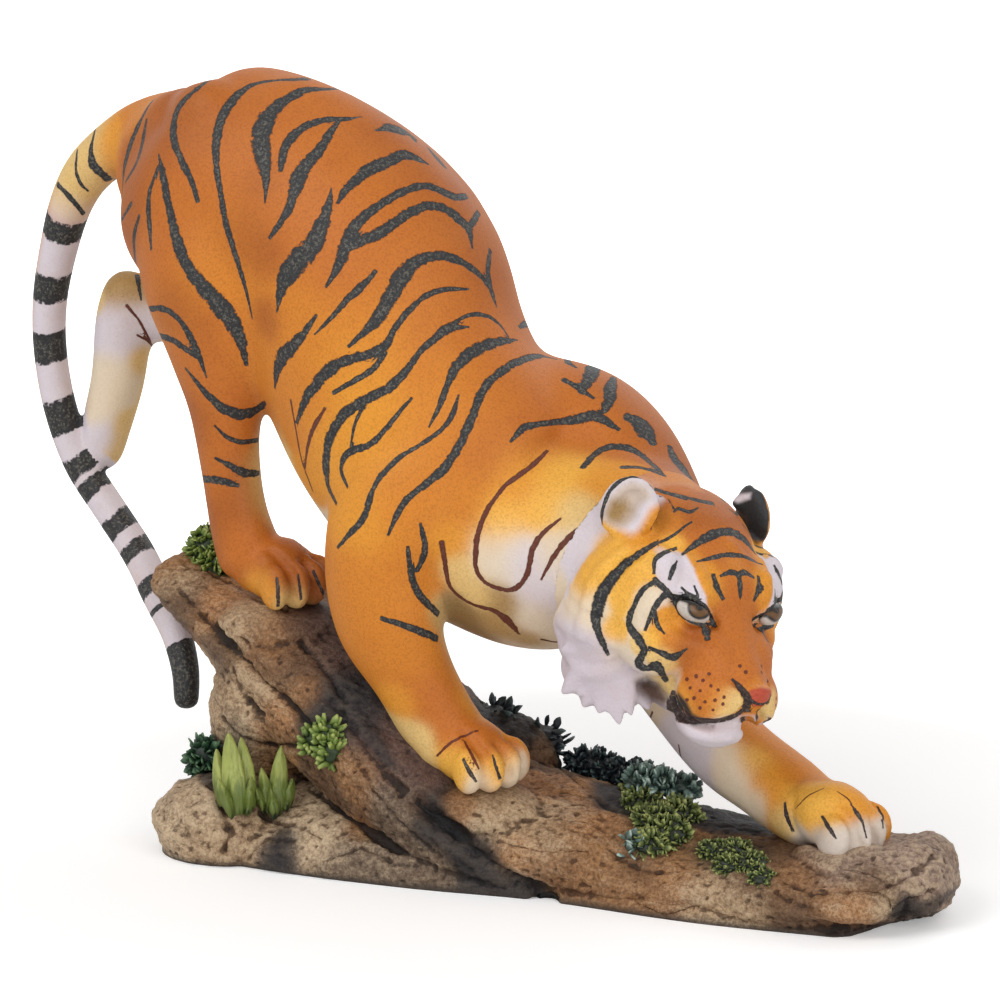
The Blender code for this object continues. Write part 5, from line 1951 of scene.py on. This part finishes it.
# Each: name, clumps, leaf, paint, leaves per square mm, least and most size, lean, upright, seed
PLANTS = (
    ("small_bush", seated(stone_tree, ((203, 560, 2, 5, 4, 4),))
     + [(-132, -1, 85, 5.5, 5, 6), (-128, -3, 81, 5, 4, 5)],
     tiny_leaf, fresh_green, 0.5, (1.0, 1.8), 0.6, 0.2, 11),
    ("ragged_leaf", [CLUMPS[3][:3] + (4.5, 3.5, 5.5)], tiny_leaf, deep_green, 0.5, (1.1, 2.0), 0.5, 0.0, 4),
    ("lobed_cluster", seated(stone_tree, ((315, 742, 0.5, 3.4, 3, 4), (330, 750, 0.5, 3.4, 3, 4),
                                          (328, 734, 0.5, 3, 3, 3.5))),
     broad_leaf, fresh_green, 0.3, (0.55, 0.85), 0.35, 0.6, 23),
    ("back_leaves", [CLUMPS[5][:3] + (7, 5, 5.5), CLUMPS[6][:3] + (7, 5, 5.5)], spiky_leaf, shade_green, 0.15,
     (0.5, 1.15), 0.6, 0.2, 5),
    ("back_moss", [CLUMPS[7][:3] + (7, 5, 4.5), CLUMPS[8][:3] + (8, 5, 4)], tiny_leaf, shade_green, 0.5,
     (0.8, 1.5), 0.6, 0.2, 6),
    ("mossy_bush", seated(stone_tree, ((642, 806, 1, 5, 5, 5.5), (656, 826, 1, 6, 5, 5.5),
                                       (678, 818, 1, 6, 5, 5), (650, 846, 0.5, 5, 4, 3.5),
                                       (668, 836, 0.5, 6, 4, 5), (640, 790, 1, 4.5, 4, 4))),
     tiny_leaf, bush_green, 0.7, (0.8, 1.5), 0.7, 0.1, 7),
    ("bush_crown", [(17, -4, 30, 4, 4, 3), (22, -2, 29.5, 4.5, 4, 2.6), (28, 0, 28.5, 4.5, 4, 2)]
     + seated(stone_tree, ((632, 846, 0.5, 2.5, 2, 3),)),
     tiny_leaf, blue_green, 0.5, (1.1, 1.9), 0.6, 0.2, 8),
    ("moss_patch", seated(stone_tree, ((716, 852, 1.2, 5, 3.5, 3), (736, 854, 1.2, 5.5, 3.5, 3.5),
                                       (752, 866, 1.2, 5, 3.5, 3.5), (762, 878, 1.2, 3.6, 3, 2.5),
                                       (730, 866, 1.2, 5, 3.5, 2.5))),
     tiny_leaf, bush_green, 1.0, (0.55, 1.0), 0.7, 0.0, 9),
)
plant_pieces = []
for name, clumps, leaf, paint, density, sizes, lean, upright, seed in PLANTS:
    mesh = leafy(name, clumps, leaf, paint, density, sizes, lean, upright, seed)
    plant_pieces.append((mesh, name, paint))
plant_pieces.append((long_leaves(stone_tree), "long_leaves", long_leaf_paint()))
for leaf in (tiny_leaf, broad_leaf, spiky_leaf):
    bpy.data.objects.remove(leaf, do_unlink=True)


def show(mesh, name, material, node="tiger_on_rock"):
    thing = skin_object(name, mesh)
    mesh.materials.clear()
    mesh.materials.append(material)
    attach(thing, "root")
    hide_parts(node)


# An eye's half sizes and how deep it is set, in mm, and the edges of its rim, iris and pupil, in pixels
EYE_HALF = (5.4, 3.0, 2.7)
EYE_SINK = 1.7
RIM_EDGE = 13.5
IRIS_EDGE = 11.0
PUPIL_EDGE = 4.6


def eyes():
    """Two glossy eyes, each a long ball set between the lids; the iris is painted as the view sees it."""
    middle, normal = seen_at(head_tree, *EYE_MIDDLE)
    inner, outer = (seen_at(head_tree, *corner)[0] for corner in EYE_CORNERS)
    along = Vector(outer - inner).normalized()
    out = Vector(normal)
    out = (out - along * out.dot(along)).normalized()
    turn = Matrix((along, out.cross(along), out)).transposed().to_4x4()
    place = Matrix.Translation(Vector(middle - np.array(out) * EYE_SINK) * MM) @ turn
    bm = bmesh.new()
    half = [size * MM for size in EYE_HALF]
    bmesh.ops.create_uvsphere(bm, u_segments=64, v_segments=40, radius=1.0,
                              matrix=place @ Matrix.Diagonal((*half, 1.0)))
    mesh = bpy.data.meshes.new("eyes")
    bm.to_mesh(mesh)
    near_points, _ = vertex_arrays(mesh)
    other = bm.copy()
    for vert, point in zip(other.verts, other_half(near_points)):
        vert.co = Vector(point) * MM
    bmesh.ops.reverse_faces(other, faces=other.faces)
    pair = bpy.data.meshes.new("far_eye")
    other.to_mesh(pair)
    bm.from_mesh(pair)
    bm.to_mesh(mesh)
    bm.free()
    other.free()
    points, _ = vertex_arrays(mesh)
    points[len(near_points):] = near_points
    pixels = to_pixels(points)
    away = lengths(pixels - PUPIL)
    colours = np.tile(EYE_WHITE, (len(points), 1))
    blend(colours, np.clip((RIM_EDGE - away) / 1.6, 0, 1), PUPIL_BLACK)
    blend(colours, np.clip((IRIS_EDGE - away) / 2.2, 0, 1), IRIS_BROWN)
    blend(colours, np.clip((PUPIL_EDGE - away) / 1.4, 0, 1), PUPIL_BLACK)
    # Painted shadow: the eye goes black under the upper lid, where the lid's shadow falls on it.
    lid_shadow = (pixels[:, 0] - 676) * 0.34 + 600.5 - pixels[:, 1]
    blend(colours, np.clip(lid_shadow / 2.0, 0, 1), PUPIL_BLACK)
    keep_values(mesh, "coat", colours)
    mesh.shade_smooth()
    return mesh


EYE_WASH = (0.6, 0.5, 0.4)


def eye_paint():
    p = Paint("glossy_eye", 0.22, 0.4)
    p.colour(p.shaded(p.span(p.noise(1500.0, 2.0), 0.4, 0.7, 0.0, 0.3), p.attribute("coat", True), EYE_WASH))
    return p.material


coat_material = tiger_paint()
show(eyes(), "tiger_eyes", eye_paint())
show(head_mesh, "tiger_head", coat_material)
show(parts[0], "tiger_forequarters", coat_material)
show(parts[2], "tiger_hindquarters", coat_material)
stone.shade_smooth()
show(stone, "rock", rock_paint())
for mesh, name, paint in plant_pieces:
    show(mesh, name, paint)

camera_data = bpy.data.cameras.new("photo_view")
camera_data.lens = 168.0
camera_data.sensor_width = 36.0
camera_data.clip_end = 10.0
camera = bpy.data.objects.new("photo_view", camera_data)
bpy.context.scene.collection.objects.link(camera)
camera.matrix_world = Matrix((tuple(VIEW_RIGHT), tuple(VIEW_UP), tuple(VIEW_BACK))).transposed().to_4x4()
camera.location = VIEW_EYE * MM
bpy.context.scene.camera = camera


def math_node(tree, operation, a, b):
    return add_node(tree, "ShaderNodeMath", {0: a, 1: b}, operation=operation)[0]


# Light of the room on the object; the camera, reflections and what is seen through glass get plain white
ROOM_LIGHT = 0.42
world = bpy.data.worlds.new("studio")
bpy.context.scene.world = world
world.use_nodes = True
tree = world.node_tree
dim = tree.nodes["Background"]
dim.inputs["Color"].default_value = (1, 1, 1, 1)
dim.inputs["Strength"].default_value = ROOM_LIGHT
bright = add_node(tree, "ShaderNodeBackground", {"Color": (1, 1, 1, 1), "Strength": 1.0})
path = add_node(tree, "ShaderNodeLightPath", {})
seen = math_node(tree, "MAXIMUM", path["Is Camera Ray"], path["Is Glossy Ray"])
seen = math_node(tree, "MAXIMUM", seen, path["Is Transmission Ray"])
room = add_node(tree, "ShaderNodeMixShader", {"Fac": seen, 1: dim.outputs[0], 2: bright[0]})
tree.links.new(room[0], tree.nodes["World Output"].inputs["Surface"])

# The floor glows faintly near the object and is plain white from FLOOR_WHITE metres on, to the camera alone
FLOOR_HALF = 4
FLOOR_GREY = 0.2
FLOOR_WHITE = 0.5
floor_mesh = bpy.data.meshes.new("floor")
floor_mesh.from_pydata([(x * FLOOR_HALF, y * FLOOR_HALF, 0) for x, y in ((-1, -1), (1, -1), (1, 1), (-1, 1))],
                       [], [(0, 1, 2, 3)])
floor = skin_object("floor", floor_mesh)
floor_paint = bpy.data.materials.new("pale_floor")
floor_paint.use_nodes = True
floor_shader = floor_paint.node_tree.nodes["Principled BSDF"]
floor_shader.inputs["Base Color"].default_value = (0.93, 0.93, 0.93, 1)
floor_shader.inputs["Roughness"].default_value = 0.8
floor_shader.inputs["Emission Color"].default_value = (1, 1, 1, 1)
tree = floor_paint.node_tree
path = add_node(tree, "ShaderNodeLightPath", {})
place = add_node(tree, "ShaderNodeTexCoord", {})
away = add_node(tree, "ShaderNodeVectorMath", {0: place["Object"]}, operation="LENGTH")
fade = add_node(tree, "ShaderNodeMapRange", {"Value": away["Value"], "From Min": FLOOR_GREY,
                                             "From Max": FLOOR_WHITE, "To Min": 0.25, "To Max": 1.0})
glow = math_node(tree, "MULTIPLY", path["Is Camera Ray"], fade["Result"])
tree.links.new(glow, floor_shader.inputs["Emission Strength"])
floor_mesh.materials.append(floor_paint)
bpy.context.scene.view_settings.view_transform = "Standard"

# Lamps: name, place in metres, size in metres and power in watts, all aimed at AIM
AIM = Vector((-0.03, 0, 0.1))
LAMPS = (
    ("key", (-0.55, -1.0, 1.15), 0.9, 10.0),
    ("fill", (1.1, -0.9, 0.6), 1.2, 9.5),
    ("back", (0.2, 1.1, 1.0), 1.0, 4.5),
)
for name, place, size, power in LAMPS:
    light = bpy.data.lights.new(name, "AREA")
    light.energy = power
    light.size = size
    lamp = bpy.data.objects.new(name, light)
    lamp.location = place
    lamp.rotation_euler = (AIM - lamp.location).to_track_quat("-Z", "Y").to_euler()
    bpy.context.scene.collection.objects.link(lamp)

bpy.context.view_layer.update()
